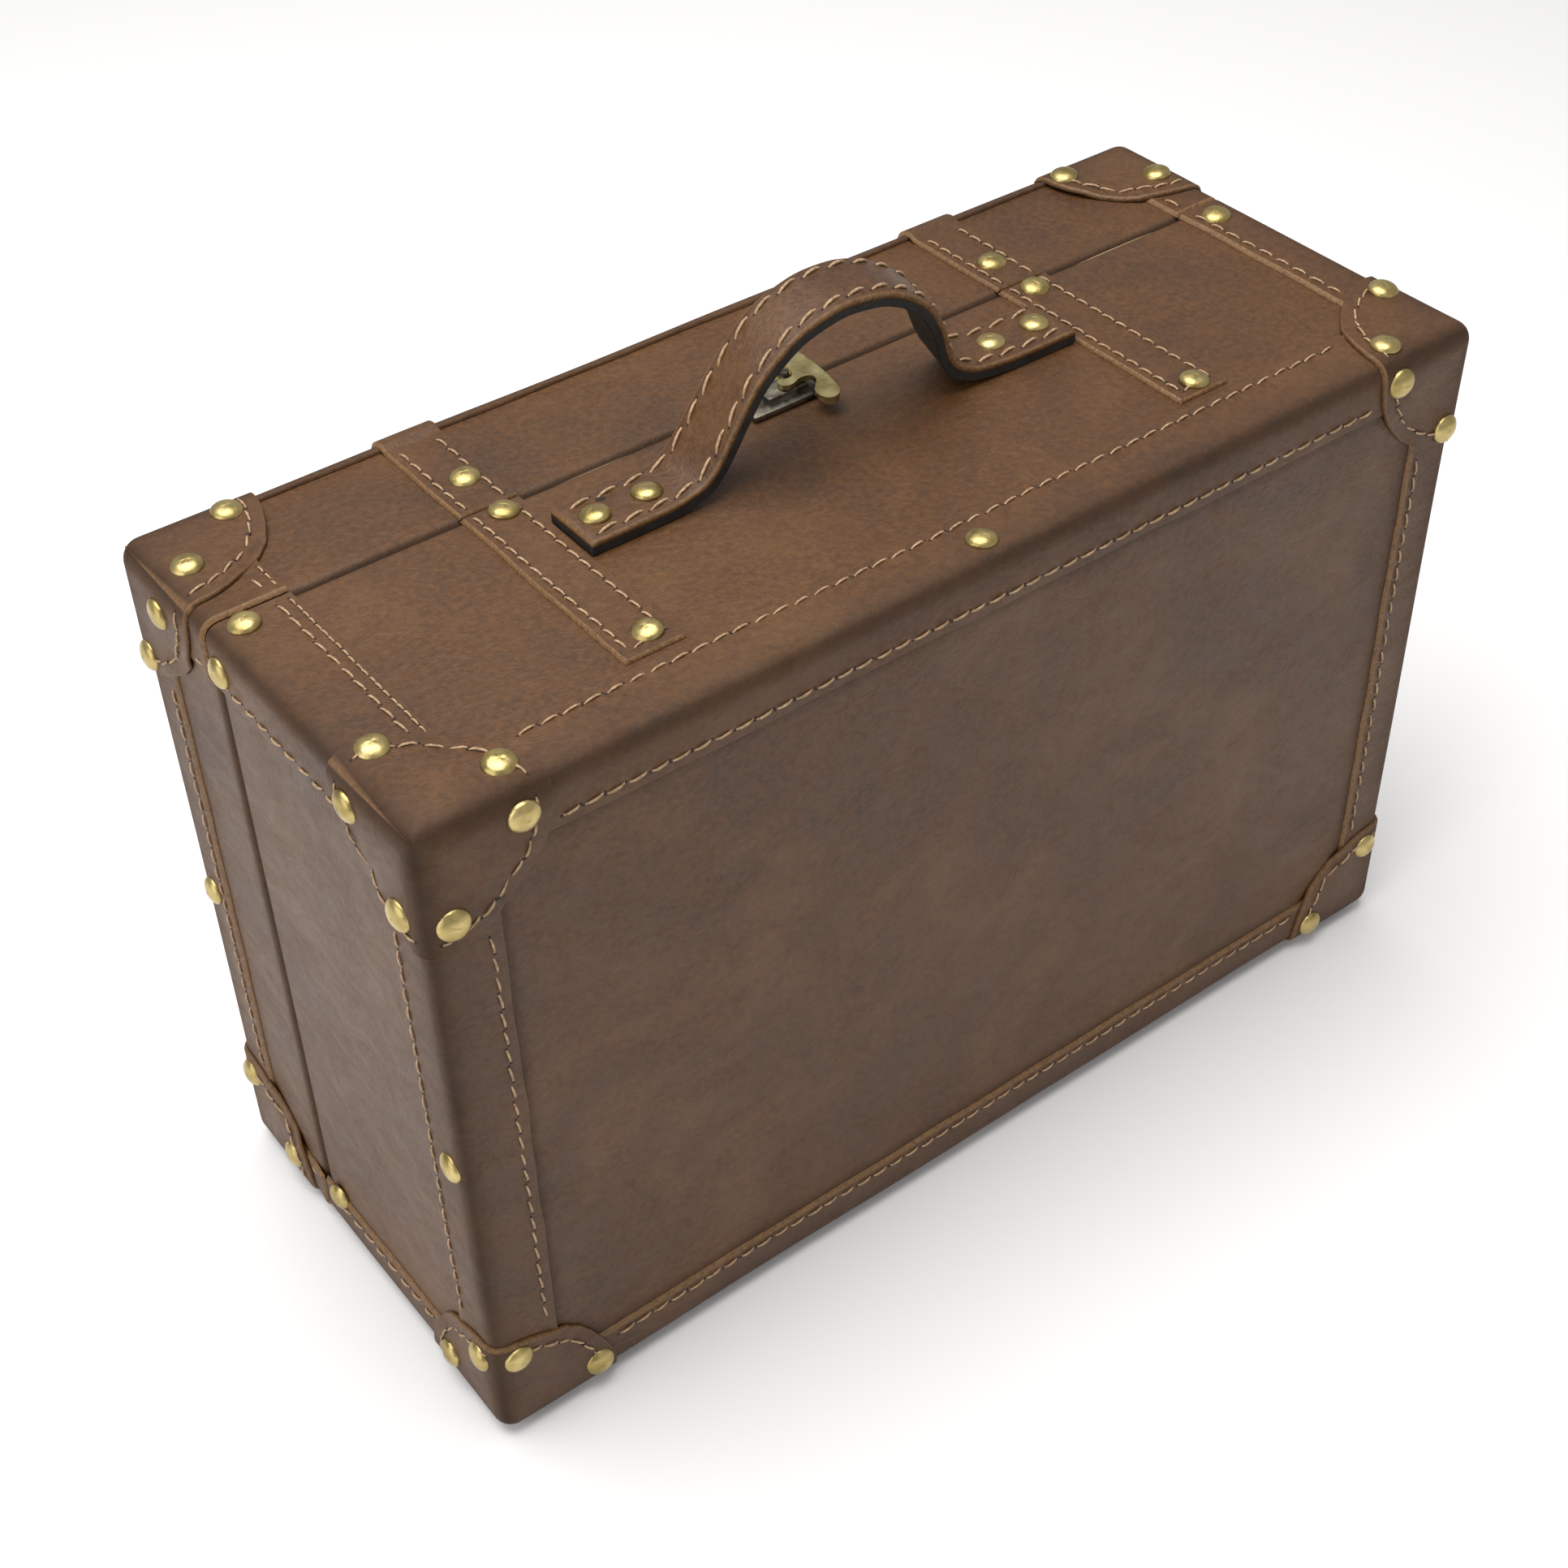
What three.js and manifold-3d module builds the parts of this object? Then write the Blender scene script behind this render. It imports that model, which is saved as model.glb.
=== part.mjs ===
// A leather-covered suitcase record player, closed and standing on its hinge side with the handle on top.
// Units are millimetres. X runs left to right along the case, -Y is the large underside face of the base,
// +Y is the large face of the lid, and +Z is up. The lowest nail heads touch Z = 0.
import * as THREE from "three";
import { mergeVertices } from "three/addons/utils/BufferGeometryUtils.js";
import Module from "manifold-3d";

const wasm = await Module();
wasm.setup();
const { Manifold, Mesh: SolidMesh } = wasm;

// ---------------------------------------------------------------- driving dimensions
const GAP = 0.3; // clearance between pieces that touch
const WIDTH = 360; // case over its leather, left to right
const DEPTH = 149; // case over its leather, base face to lid face
const HEIGHT = 231; // case over its leather, hinge side to handle side
const BASE_SHARE = 0.69; // share of the depth that belongs to the base
const CORNER_RADIUS = 5; // rounding of the four long corners
const LEATHER = 1.2; // covering leather
const SKIVE = 0.3; // how far the leather is thinned where a binding is stitched over it
const WOOD_WALL = 5; // plywood walls and floors
const BINDING = 1; // stitched leather strips along the edges
const BINDING_WIDTH = 17;
const LID_LIP = 4; // how far the lid's binding reaches onto the handle side
const PATCH = 1.2; // corner patches
const PATCH_RADIUS = 37;
const NAIL_RADIUS = 4.75;
const NAIL_HEIGHT = 2;
const STRAP_WIDTH = 19;
const STRAP_THICKNESS = 1.2;
const STRAP_FROM_CENTRE = 0.265 * WIDTH;
const HANDLE_WIDTH = 20;
const HANDLE_RISE = 40; // from the top leather to the underside of the arch
const HANDLE_LEATHER = 1.9;
const HANDLE_BACKING = 2.7;
const PLATTER_RADIUS = 0.424 * HEIGHT;
const PLATTER_TO_ARM = 42.016; // from the platter's edge to the arm's pivot, along the width
const ARM_OVERHANG = 10.6; // how far the stylus reaches past the spindle
const LATCH_SHEET = 1.6; // brass sheet of the latch
const HINGE_LENGTH = 40;
const HINGE_FROM_CENTRE = 0.305 * WIDTH;
const DECK_BELOW_RIM = 5;
const DECK_THICKNESS = 2.5;
const PLATTER_ABOVE_RIM = 3;
const SPINDLE_RADIUS = 3.55;

// ---------------------------------------------------------------- derived sizes
const BINDING_OUT = GAP + BINDING; // outer surface of a binding above the leather
const PATCH_IN = BINDING_OUT + GAP;
const PATCH_OUT = PATCH_IN + PATCH;
const LIFT = PATCH_OUT + NAIL_HEIGHT; // leather bottom above the lowest nail heads
const TOP = LIFT + HEIGHT;
const MIDDLE = LIFT + HEIGHT / 2;
const BASE_FACE = -DEPTH / 2;
const LID_FACE = DEPTH / 2;
const SEAM = BASE_FACE + BASE_SHARE * DEPTH;
const WOOD_IN = LEATHER + GAP; // leather face to the wood
const INNER = WOOD_IN + WOOD_WALL; // leather face to the inside of the wood
const FAR = 1000; // reach of cutting blocks
const DECK_TOP = SEAM - DECK_BELOW_RIM;
const DECK_LOW = DECK_TOP - DECK_THICKNESS;
const PLATTER_TOP = SEAM + PLATTER_ABOVE_RIM;

// ---------------------------------------------------------------- materials
const finishes = {};
for (const [name, color, roughness, metalness] of [
  ["leather", 0x6b4b36, 0.55, 0],
  ["trim_leather", 0x74523a, 0.5, 0],
  ["lining", 0x1a1613, 0.8, 0],
  ["wood", 0xb08a5c, 0.7, 0],
  ["brass", 0xb99a4a, 0.35, 1],
  ["steel", 0xb8bcc0, 0.3, 1],
  ["deck_vinyl", 0x2b211c, 0.6, 0],
  ["black_plastic", 0x151515, 0.45, 0],
  ["rubber", 0x0d0d0d, 0.9, 0],
  ["felt", 0x191919, 0.95, 0],
  ["lining_cloth", 0x3a2c22, 0.9, 0],
  ["board", 0x1f5a34, 0.6, 0],
]) {
  finishes[name] = new THREE.MeshStandardMaterial({ name, color, roughness, metalness });
}

const part = new THREE.Group();

// ---------------------------------------------------------------- solids
function solidOf(geometry) {
  const bare = geometry.clone();
  bare.deleteAttribute("normal");
  bare.deleteAttribute("uv");
  const merged = mergeVertices(bare, 1e-4);
  return new Manifold(
    new SolidMesh({
      numProp: 3,
      vertProperties: new Float32Array(merged.attributes.position.array),
      triVerts: new Uint32Array(merged.index.array),
    }),
  );
}

function add(name, solid, finish) {
  const { vertProperties, triVerts } = solid.getMesh();
  const geometry = new THREE.BufferGeometry();
  geometry.setAttribute("position", new THREE.BufferAttribute(vertProperties, 3));
  geometry.setIndex(new THREE.BufferAttribute(triVerts, 1));
  geometry.computeVertexNormals();
  const mesh = new THREE.Mesh(geometry, finishes[finish]);
  mesh.name = name;
  part.add(mesh);
}

function block([x0, x1], [y0, y1], [z0, z1]) {
  const box = new THREE.BoxGeometry(x1 - x0, y1 - y0, z1 - z0);
  return solidOf(box.translate((x0 + x1) / 2, (y0 + y1) / 2, (z0 + z1) / 2));
}

function extruded(outline, depth) {
  const shape = new THREE.Shape(outline.map(([a, b]) => new THREE.Vector2(a, b)));
  return new THREE.ExtrudeGeometry(shape, { depth, bevelEnabled: false, curveSegments: 1 });
}

// An outline of [x, y] pairs pulled up along Z.
function prismZ(outline, [z0, z1]) {
  return solidOf(extruded(outline, z1 - z0).translate(0, 0, z0));
}

// An outline of [x, z] pairs pulled along Y.
function prismY(outline, [y0, y1]) {
  const turn = new THREE.Matrix4().makeBasis(
    new THREE.Vector3(1, 0, 0),
    new THREE.Vector3(0, 0, 1),
    new THREE.Vector3(0, -1, 0),
  );
  return solidOf(extruded(outline, y1 - y0).applyMatrix4(turn).translate(0, y1, 0));
}

// An outline of [y, z] pairs pulled along X.
function prismX(outline, [x0, x1]) {
  const turn = new THREE.Matrix4().makeBasis(
    new THREE.Vector3(0, 1, 0),
    new THREE.Vector3(0, 0, 1),
    new THREE.Vector3(1, 0, 0),
  );
  return solidOf(extruded(outline, x1 - x0).applyMatrix4(turn).translate(x0, 0, 0));
}

// A profile of [radius, height] pairs turned about an axis that stands on the deck, so it runs along Y.
function turned(profile, [x, z], sides = 32) {
  const points = profile.map(([r, h]) => new THREE.Vector2(r, h));
  return solidOf(new THREE.LatheGeometry(points, sides).translate(x, 0, z));
}

// A solid cylinder along Y.
function post(radius, [y0, y1], at, sides = 16) {
  return turned([[0, y0], [radius, y0], [radius, y1], [0, y1]], at, sides);
}

// A solid cylinder along X.
function rod(radius, [x0, x1], [y, z], sides = 12) {
  const cylinder = new THREE.CylinderGeometry(radius, radius, x1 - x0, sides);
  return solidOf(cylinder.rotateZ(Math.PI / 2).translate((x0 + x1) / 2, y, z));
}

function union(solids) {
  return solids.reduce((whole, next) => whole.add(next));
}

// Points of an arc about [a, b], from one angle to another in degrees.
function arc([a, b], radius, from, to, steps) {
  const points = [];
  for (let i = 0; i <= steps; i++) {
    const angle = THREE.MathUtils.degToRad(from + ((to - from) * i) / steps);
    points.push([a + radius * Math.cos(angle), b + radius * Math.sin(angle)]);
  }
  return points;
}

// ---------------------------------------------------------------- case shells
// Each half of the case: its skived large face and the direction from the seam towards that face.
const BASE = { face: BASE_FACE + SKIVE, outward: -1 };
const LID = { face: LID_FACE - SKIVE, outward: 1 };

const ordered = (a, b) => [Math.min(a, b), Math.max(a, b)];

// The case outline grown by some amount, or shrunk by a negative one, pulled between two depths.
function caseBlock(grow, yRange) {
  const x = WIDTH / 2 + grow;
  const low = LIFT - grow;
  const high = TOP + grow;
  const r = Math.max(CORNER_RADIUS + grow, 0.5);
  const outline = [
    ...arc([x - r, high - r], r, 0, 90, 3),
    ...arc([r - x, high - r], r, 90, 180, 3),
    ...arc([r - x, low + r], r, 180, 270, 3),
    ...arc([x - r, low + r], r, 270, 360, 3),
  ];
  return prismY(outline, yRange);
}

// A tray that opens at the seam, between one surface and another, both as growth from the leather.
function tray(half, outer, inner) {
  const rim = SEAM + (half.outward * GAP) / 2;
  const body = caseBlock(outer, ordered(rim, half.face + half.outward * outer));
  const beyondSeam = SEAM - half.outward * FAR;
  return body.subtract(caseBlock(inner, ordered(beyondSeam, half.face + half.outward * inner)));
}

const SIDES = [-1, 1];

// A ball about one corner of a half of the case.
function cornerBall(half, right, up, radius) {
  const ball = new THREE.SphereGeometry(radius, 24, 12);
  return solidOf(ball.translate((right * WIDTH) / 2, half.face, MIDDLE + (up * HEIGHT) / 2));
}

// The leather is thinned under the bindings and patches, so the panel between them stands proud.
function leatherSkin(half) {
  const x = WIDTH / 2 - BINDING_WIDTH - GAP;
  const z = HEIGHT / 2 - BINDING_WIDTH - GAP;
  const y = ordered(half.face - (half.outward * LEATHER) / 2, half.face + half.outward * SKIVE);
  const clear = PATCH_RADIUS + 2 * GAP;
  const underPatches = SIDES.flatMap((right) => SIDES.map((up) => cornerBall(half, right, up, clear)));
  const panel = block([-x, x], y, [MIDDLE - z, MIDDLE + z]).subtract(union(underPatches));
  return tray(half, 0, -LEATHER).add(panel);
}

// ---------------------------------------------------------------- nails
const NAIL_FROM_EDGE = 7.2; // nail centre to the nearer case edge
const NAIL_FROM_CORNER = 29.7; // nail centre to the farther case edge on a corner patch
const NAIL_FROM_SEAM = 6;
const SEAM_NAIL_DOWN = 9.4; // the side nail beside the seam, to the case edge

const nailShape = new THREE.LatheGeometry(
  [
    [0, -BINDING / 2],
    [NAIL_RADIUS, NAIL_HEIGHT * 0.1],
    [NAIL_RADIUS * 0.7, NAIL_HEIGHT * 0.8],
    [0, NAIL_HEIGHT],
  ].map(([r, h]) => new THREE.Vector2(r, h)),
  7,
);

// A domed upholstery nail at a point on a surface, standing along its outward direction.
function nail(position, outward) {
  const up = new THREE.Vector3(0, 1, 0);
  const turn = new THREE.Quaternion().setFromUnitVectors(up, new THREE.Vector3(...outward));
  return solidOf(nailShape.clone().applyQuaternion(turn).translate(...position));
}

// ---------------------------------------------------------------- bindings and corner patches
// The leather frame that wraps the four edges of a large face, with a nail at the middle of each side edge.
function faceBinding(half) {
  const reach = ordered(half.face - half.outward * BINDING_WIDTH, half.face + half.outward * FAR);
  const x = WIDTH / 2 - BINDING_WIDTH;
  const z = HEIGHT / 2 - BINDING_WIDTH;
  const window = block([-x, x], [-FAR, FAR], [MIDDLE - z, MIDDLE + z]);
  const band = block([-FAR, FAR], reach, [-FAR, FAR]);
  const y = half.face - half.outward * NAIL_FROM_EDGE;
  const side = WIDTH / 2 + BINDING_OUT;
  return union([
    tray(half, BINDING_OUT, GAP).intersect(band).subtract(window),
    nail([side, y, MIDDLE], [1, 0, 0]),
    nail([-side, y, MIDDLE], [-1, 0, 0]),
  ]);
}

// On the handle side the lid's frame stops just past the edge, so the leather there stays bare.
function lidFaceBinding() {
  const x = WIDTH / 2 - BINDING_WIDTH;
  const bare = block([-x, x], [LID.face - BINDING_WIDTH - 1, LID.face - LID_LIP], [TOP, FAR]);
  return faceBinding(LID).subtract(bare);
}

// The base's frame has two more nails, at the middle of its top and bottom edges.
function baseFaceBinding() {
  const y = BASE.face - BASE.outward * NAIL_FROM_EDGE;
  return union([
    faceBinding(BASE),
    nail([0, y, TOP + BINDING_OUT], [0, 0, 1]),
    nail([0, y, LIFT - BINDING_OUT], [0, 0, -1]),
  ]);
}

// The leather strip that wraps one long corner between the face binding and the seam.
function sideBinding(half, right, up) {
  const x = ordered(right * (WIDTH / 2 - BINDING_WIDTH), right * FAR);
  const z = ordered(MIDDLE + up * (HEIGHT / 2 - BINDING_WIDTH), MIDDLE + up * FAR);
  const y = ordered(half.face - half.outward * (BINDING_WIDTH + GAP), SEAM - half.outward * FAR);
  return tray(half, BINDING_OUT, GAP).intersect(block(x, y, z));
}

// The two nails that hold a base strip down beside the seam.
function seamNails(right, up) {
  const y = SEAM - NAIL_FROM_SEAM;
  const z = MIDDLE + up * (HEIGHT / 2);
  return union([
    nail([right * (WIDTH / 2 - NAIL_FROM_EDGE), y, z + up * BINDING_OUT], [0, 0, up]),
    nail([right * (WIDTH / 2 + BINDING_OUT), y, z - up * SEAM_NAIL_DOWN], [right, 0, 0]),
  ]);
}

// A rounded leather patch over one corner, with two nails on each of its three faces.
function cornerPatch(half, right, up) {
  const corner = [right * (WIDTH / 2), half.face, MIDDLE + up * (HEIGHT / 2)];
  const outward = [right, half.outward, up];
  const nails = [];
  for (let across = 0; across < 3; across++) {
    const [p, q] = [0, 1, 2].filter((axis) => axis !== across);
    for (const [fromP, fromQ] of [
      [NAIL_FROM_CORNER, NAIL_FROM_EDGE],
      [NAIL_FROM_EDGE, NAIL_FROM_CORNER],
    ]) {
      const at = [...corner];
      at[across] += outward[across] * PATCH_OUT;
      at[p] -= outward[p] * fromP;
      at[q] -= outward[q] * fromQ;
      const normal = [0, 0, 0];
      normal[across] = outward[across];
      nails.push(nail(at, normal));
    }
  }
  const ball = cornerBall(half, right, up, PATCH_RADIUS);
  return union([tray(half, PATCH_OUT, PATCH_IN).intersect(ball), ...nails]);
}

// ---------------------------------------------------------------- the two top straps
const STRAP_LOW = TOP + GAP;
const STRAP_HIGH = STRAP_LOW + STRAP_THICKNESS;
const STRAP_START = BASE_FACE + 23.5; // front end of the base piece
const STRAP_TAIL = 34; // how far the lid piece hangs down the large face
const STRAP_NAIL = 8; // nail centre to the end of a strap
const LID_STRAP_NAIL = 14.5; // nail centre to the seam on the lid piece
const STRAP_BEND = 1; // rounding where the lid piece turns down

const strapSpan = (x) => [x - STRAP_WIDTH / 2, x + STRAP_WIDTH / 2];

function baseStrap(x) {
  const end = SEAM - GAP / 2;
  return union([
    block(strapSpan(x), [STRAP_START, end], [STRAP_LOW, STRAP_HIGH]),
    nail([x, STRAP_START + STRAP_NAIL, STRAP_HIGH], [0, 0, 1]),
    nail([x, end - NAIL_RADIUS, STRAP_HIGH], [0, 0, 1]),
  ]);
}

// The lid piece lies on the leather, climbs over the lip of the lid's binding and turns down the large face.
function lidStrap(x) {
  const climb = PATCH_IN - GAP;
  const stepY = LID.face - LID_LIP - 2 * GAP;
  const back = LID.face + PATCH_IN;
  const t = STRAP_THICKNESS;
  const outline = [
    [SEAM + GAP / 2, STRAP_LOW],
    [stepY - climb, STRAP_LOW],
    [stepY, STRAP_LOW + climb],
    [back, STRAP_LOW + climb],
    [back, TOP - STRAP_TAIL],
    [back + t, TOP - STRAP_TAIL],
    [back + t, STRAP_LOW + climb + t - STRAP_BEND],
    [back + t - STRAP_BEND, STRAP_LOW + climb + t],
    [stepY - t / 2, STRAP_LOW + climb + t],
    [stepY - climb - t / 2, STRAP_HIGH],
    [SEAM + GAP / 2, STRAP_HIGH],
  ];
  return union([
    prismX(outline, strapSpan(x)),
    nail([x, SEAM + LID_STRAP_NAIL, STRAP_HIGH], [0, 0, 1]),
    nail([x, back + t, TOP - STRAP_TAIL + STRAP_NAIL], [0, 1, 0]),
  ]);
}

// ---------------------------------------------------------------- carrying handle
const HANDLE_Y = BASE_FACE + 77; // middle of the handle strap
const HANDLE_END = STRAP_FROM_CENTRE - STRAP_WIDTH / 2 - 2 * GAP;
const ARCH_FOOT = 0.655 * HANDLE_END; // where the arch leaves the case, from the centre
const ARCH_STEEPNESS = 0.27 * ARCH_FOOT;
const ARCH_ROUNDNESS = 0.59 * ARCH_FOOT;
const HANDLE_NAILS = [7.5, 24.5]; // from the end of the handle

// The underside of the handle in the XZ plane: flat ends and a bell-shaped arch between them.
function handleLine() {
  const rise = new THREE.CubicBezierCurve(
    new THREE.Vector2(-ARCH_FOOT, 0),
    new THREE.Vector2(ARCH_STEEPNESS - ARCH_FOOT, 0),
    new THREE.Vector2(-ARCH_ROUNDNESS, HANDLE_RISE),
    new THREE.Vector2(0, HANDLE_RISE),
  ).getPoints(11);
  const left = [new THREE.Vector2(-HANDLE_END, 0), ...rise];
  const right = left.slice(0, -1).reverse().map((p) => new THREE.Vector2(-p.x, p.y));
  return [...left, ...right];
}

// A ribbon of the handle's width between two heights above its underside line.
function handleRibbon(low, high) {
  const line = handleLine();
  const offset = (distance) =>
    line.map((p, i) => {
      const before = line[Math.max(i - 1, 0)];
      const after = line[Math.min(i + 1, line.length - 1)];
      const along = after.clone().sub(before).normalize();
      return [p.x - along.y * distance, TOP + GAP + p.y + along.x * distance];
    });
  const outline = [...offset(low), ...offset(high).reverse()];
  return prismY(outline, [HANDLE_Y - HANDLE_WIDTH / 2, HANDLE_Y + HANDLE_WIDTH / 2]);
}

const HANDLE_TOP = HANDLE_BACKING + GAP + HANDLE_LEATHER;

function handleLeather() {
  const places = HANDLE_NAILS.flatMap((inset) => [inset - HANDLE_END, HANDLE_END - inset]);
  const nails = places.map((x) => nail([x, HANDLE_Y, TOP + GAP + HANDLE_TOP], [0, 0, 1]));
  return union([handleRibbon(HANDLE_BACKING + GAP, HANDLE_TOP), ...nails]);
}

// ---------------------------------------------------------------- latch
const LATCH_LOW = TOP + GAP;
const LATCH_HIGH = LATCH_LOW + LATCH_SHEET;
const HOOK_LOW = LATCH_HIGH + 2.4;
const HOOK_HIGH = HOOK_LOW + LATCH_SHEET;
const PIN = { x: 3, y: SEAM - 2.9, r: 1.4 };
const PIVOT = { x: 9, y: SEAM + 8, r: 2 };

function disc(radius, [x, y], zRange, sides = 16) {
  return prismZ(arc([x, y], radius, 0, 360 - 360 / sides, sides - 1), zRange);
}

function latchBase() {
  return union([
    block([-14, 14], [SEAM - 11.6, SEAM - 0.5], [LATCH_LOW, LATCH_HIGH]),
    block([-7, 7], [SEAM - 9, SEAM - 1.5], [LATCH_LOW, HOOK_LOW - GAP]),
    disc(PIN.r, [PIN.x, PIN.y], [LATCH_LOW, HOOK_HIGH + 1]),
  ]);
}

function latchLid() {
  return union([
    block([-14, 17], [SEAM + 0.5, SEAM + 15], [LATCH_LOW, LATCH_HIGH]),
    disc(4.4, [PIVOT.x, PIVOT.y], [LATCH_LOW, HOOK_LOW - GAP]),
    disc(PIVOT.r, [PIVOT.x, PIVOT.y], [LATCH_LOW, HOOK_HIGH + 1]),
  ]);
}

// The swing hook in plan, as x and the distance from the seam: pivot disc, notch round the pin, lobe and
// thumb tab.
function latchHook() {
  const outline = [
    ...arc([PIVOT.x, 8], 5, -20, 200, 9),
    [4.9, 2],
    ...arc([PIN.x, PIN.y - SEAM], PIN.r + GAP, 55, -125, 5),
    [0.2, -4.7],
    [-2.2, -5.3],
    [-2.9, -7.2],
    [-1.2, -9.2],
    [2.5, -9.6],
    [6, -9.4],
    [7.4, -10.4],
    [7.2, -12.2],
    [4.8, -15],
    [4.6, -20.5],
    [6.5, -22.5],
    [11.5, -22.5],
    [13.2, -21],
    [13, -14],
    [11.5, -9],
    [11.8, -3],
  ].map(([x, y]) => [x, SEAM + y]);
  const plate = prismZ(outline.reverse(), [HOOK_LOW, HOOK_HIGH]);
  const tab = block([5.5, 12.3], [SEAM - 22.3, SEAM - 20.5], [HOOK_LOW - 2, HOOK_HIGH]);
  return plate.add(tab).subtract(disc(PIVOT.r + GAP, [PIVOT.x, PIVOT.y], [-FAR, FAR]));
}

// ---------------------------------------------------------------- hinges on the hidden side
const BARREL_RADIUS = 2;
const HINGE_PIN = 0.8;
const HINGE_LEAF = 16; // how far a leaf reaches from the seam
const LEAF_HIGH = LIFT - GAP;
const LEAF = 1;
const HINGE_Z = LEAF_HIGH - BARREL_RADIUS;
const KNUCKLE = HINGE_LENGTH / 3;

// A leaf with knuckles at the given places, in thirds of its length from the middle.
function hingeLeaf(x, outward, knuckles) {
  const plate = block(
    [x - HINGE_LENGTH / 2, x + HINGE_LENGTH / 2],
    ordered(SEAM + outward * (BARREL_RADIUS + GAP), SEAM + outward * HINGE_LEAF),
    [LEAF_HIGH - LEAF, LEAF_HIGH],
  );
  const parts = [plate];
  for (const place of knuckles) {
    const from = x + (place - 0.5) * KNUCKLE + GAP / 2;
    const along = [from, from + KNUCKLE - GAP];
    parts.push(rod(BARREL_RADIUS, along, [SEAM, HINGE_Z], 10));
    const neck = ordered(SEAM, SEAM + outward * 2 * BARREL_RADIUS);
    parts.push(block(along, neck, [LEAF_HIGH - LEAF, LEAF_HIGH]));
  }
  return union(parts);
}

// The base leaf, with the pin riveted through its outer knuckles.
function hingeBase(x) {
  const pin = rod(HINGE_PIN, [x - KNUCKLE, x + KNUCKLE], [SEAM, HINGE_Z], 8);
  return hingeLeaf(x, -1, [-1, 1]).add(pin);
}

function hingeLid(x) {
  return hingeLeaf(x, 1, [0]).subtract(rod(HINGE_PIN + GAP, [-FAR, FAR], [SEAM, HINGE_Z], 10));
}

// ---------------------------------------------------------------- turntable layout, in X and Z on the deck
const SPINDLE_AT = [-0.061 * WIDTH, MIDDLE];
const ARM_AT = [SPINDLE_AT[0] + PLATTER_RADIUS + PLATTER_TO_ARM, MIDDLE - HEIGHT / 2 + 43.5];
const ARM_LENGTH = Math.hypot(ARM_AT[0] - SPINDLE_AT[0], ARM_AT[1] - SPINDLE_AT[1]) + ARM_OVERHANG;
const PULLEY_ANGLE = 225; // direction of the motor from the spindle, in degrees
const PULLEY_RADIUS = 5;
const SUB_RIM = 0.61 * PLATTER_RADIUS; // radius of the rim under the platter that the belt drives
const PULLEY_REACH = SUB_RIM + 16; // spindle to motor shaft
const PULLEY_AT = arc(SPINDLE_AT, PULLEY_REACH, PULLEY_ANGLE, PULLEY_ANGLE, 1)[0];
const SPEAKER_X = 36 - WIDTH / 2;
const SPEAKER_Z = HEIGHT / 2 - 35.5; // from the middle
const SPEAKERS_AT = { upper: [SPEAKER_X, MIDDLE + SPEAKER_Z], lower: [SPEAKER_X, MIDDLE - SPEAKER_Z] };
const SPEAKER_HOLE = 21;
const CONTROLS_X = WIDTH / 2 - 30;
const VOLUME_AT = [CONTROLS_X, MIDDLE + 30];
const SPEED_AT = [CONTROLS_X, MIDDLE - 12];
const SPEED_TRAVEL = 14;
const ADAPTER_AT = [CONTROLS_X, MIDDLE + HEIGHT / 2 - 37.5];
const CUE_AT = [ARM_AT[0] + 20, ARM_AT[1] + 22];
const CUE_HEIGHT = 10; // lever axle above the deck
const CUE_RADIUS = 34; // of the curved bar under the arm
const CUE_POST = 1.5; // radius of the post under the bar
const PULLEY_SHAFT = 1.5;
const CUE_POST_AT = arc(ARM_AT, CUE_RADIUS, 80, 80, 1)[0];
const BOARD_TOP = DECK_LOW - 10;
const BOARD = { x: [CONTROLS_X - 46, CONTROLS_X + 14], z: [MIDDLE - 26, MIDDLE + 54] };
const BOARD_POST = { radius: 2.5, inset: 5 };
const inset = ([low, high]) => [low + BOARD_POST.inset, high - BOARD_POST.inset];
const BOARD_CORNERS = inset(BOARD.x).flatMap((x) => inset(BOARD.z).map((z) => [x, z]));

// ---------------------------------------------------------------- wooden box
const CORNER_BLOCK = 9.5; // side of the block that holds up each corner of the deck

function baseBox() {
  const x = WIDTH / 2 - INNER;
  const z = HEIGHT / 2 - INNER;
  const parts = [tray(BASE, -WOOD_IN, -INNER)];
  for (const right of SIDES) {
    for (const up of SIDES) {
      parts.push(
        block(
          ordered(right * (x - CORNER_BLOCK), right * (x + 1)),
          [BASE.face + INNER - 1, DECK_LOW - GAP],
          ordered(MIDDLE + up * (z - CORNER_BLOCK), MIDDLE + up * (z + 1)),
        ),
      );
    }
  }
  return union(parts);
}

// ---------------------------------------------------------------- deck
const GRILLE_SLOTS = [-14, -7, 0, 7, 14]; // slot centres from the middle of a speaker
const GRILLE_SLOT = 3.2; // slot width
const COLUMN_RADIUS = 5; // tonearm column below the deck
const KNOB_SHAFT = 3; // radius of the volume control's shaft
const SWITCH_SLOT = { x: 1.8, z: 2.3 }; // half width, and clear length beyond each end of the travel
const ADAPTER_POST = 4; // height of the post the adaptor is kept on

// The slots that let a speaker's sound through the deck.
function grilleSlots(at) {
  return GRILLE_SLOTS.map((offset) => {
    const half = Math.sqrt((SPEAKER_HOLE - 2) ** 2 - offset ** 2);
    const z = [at[1] + offset - GRILLE_SLOT / 2, at[1] + offset + GRILLE_SLOT / 2];
    return block([at[0] - half, at[0] + half], [DECK_LOW - 1, DECK_TOP + 1], z);
  });
}

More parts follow.
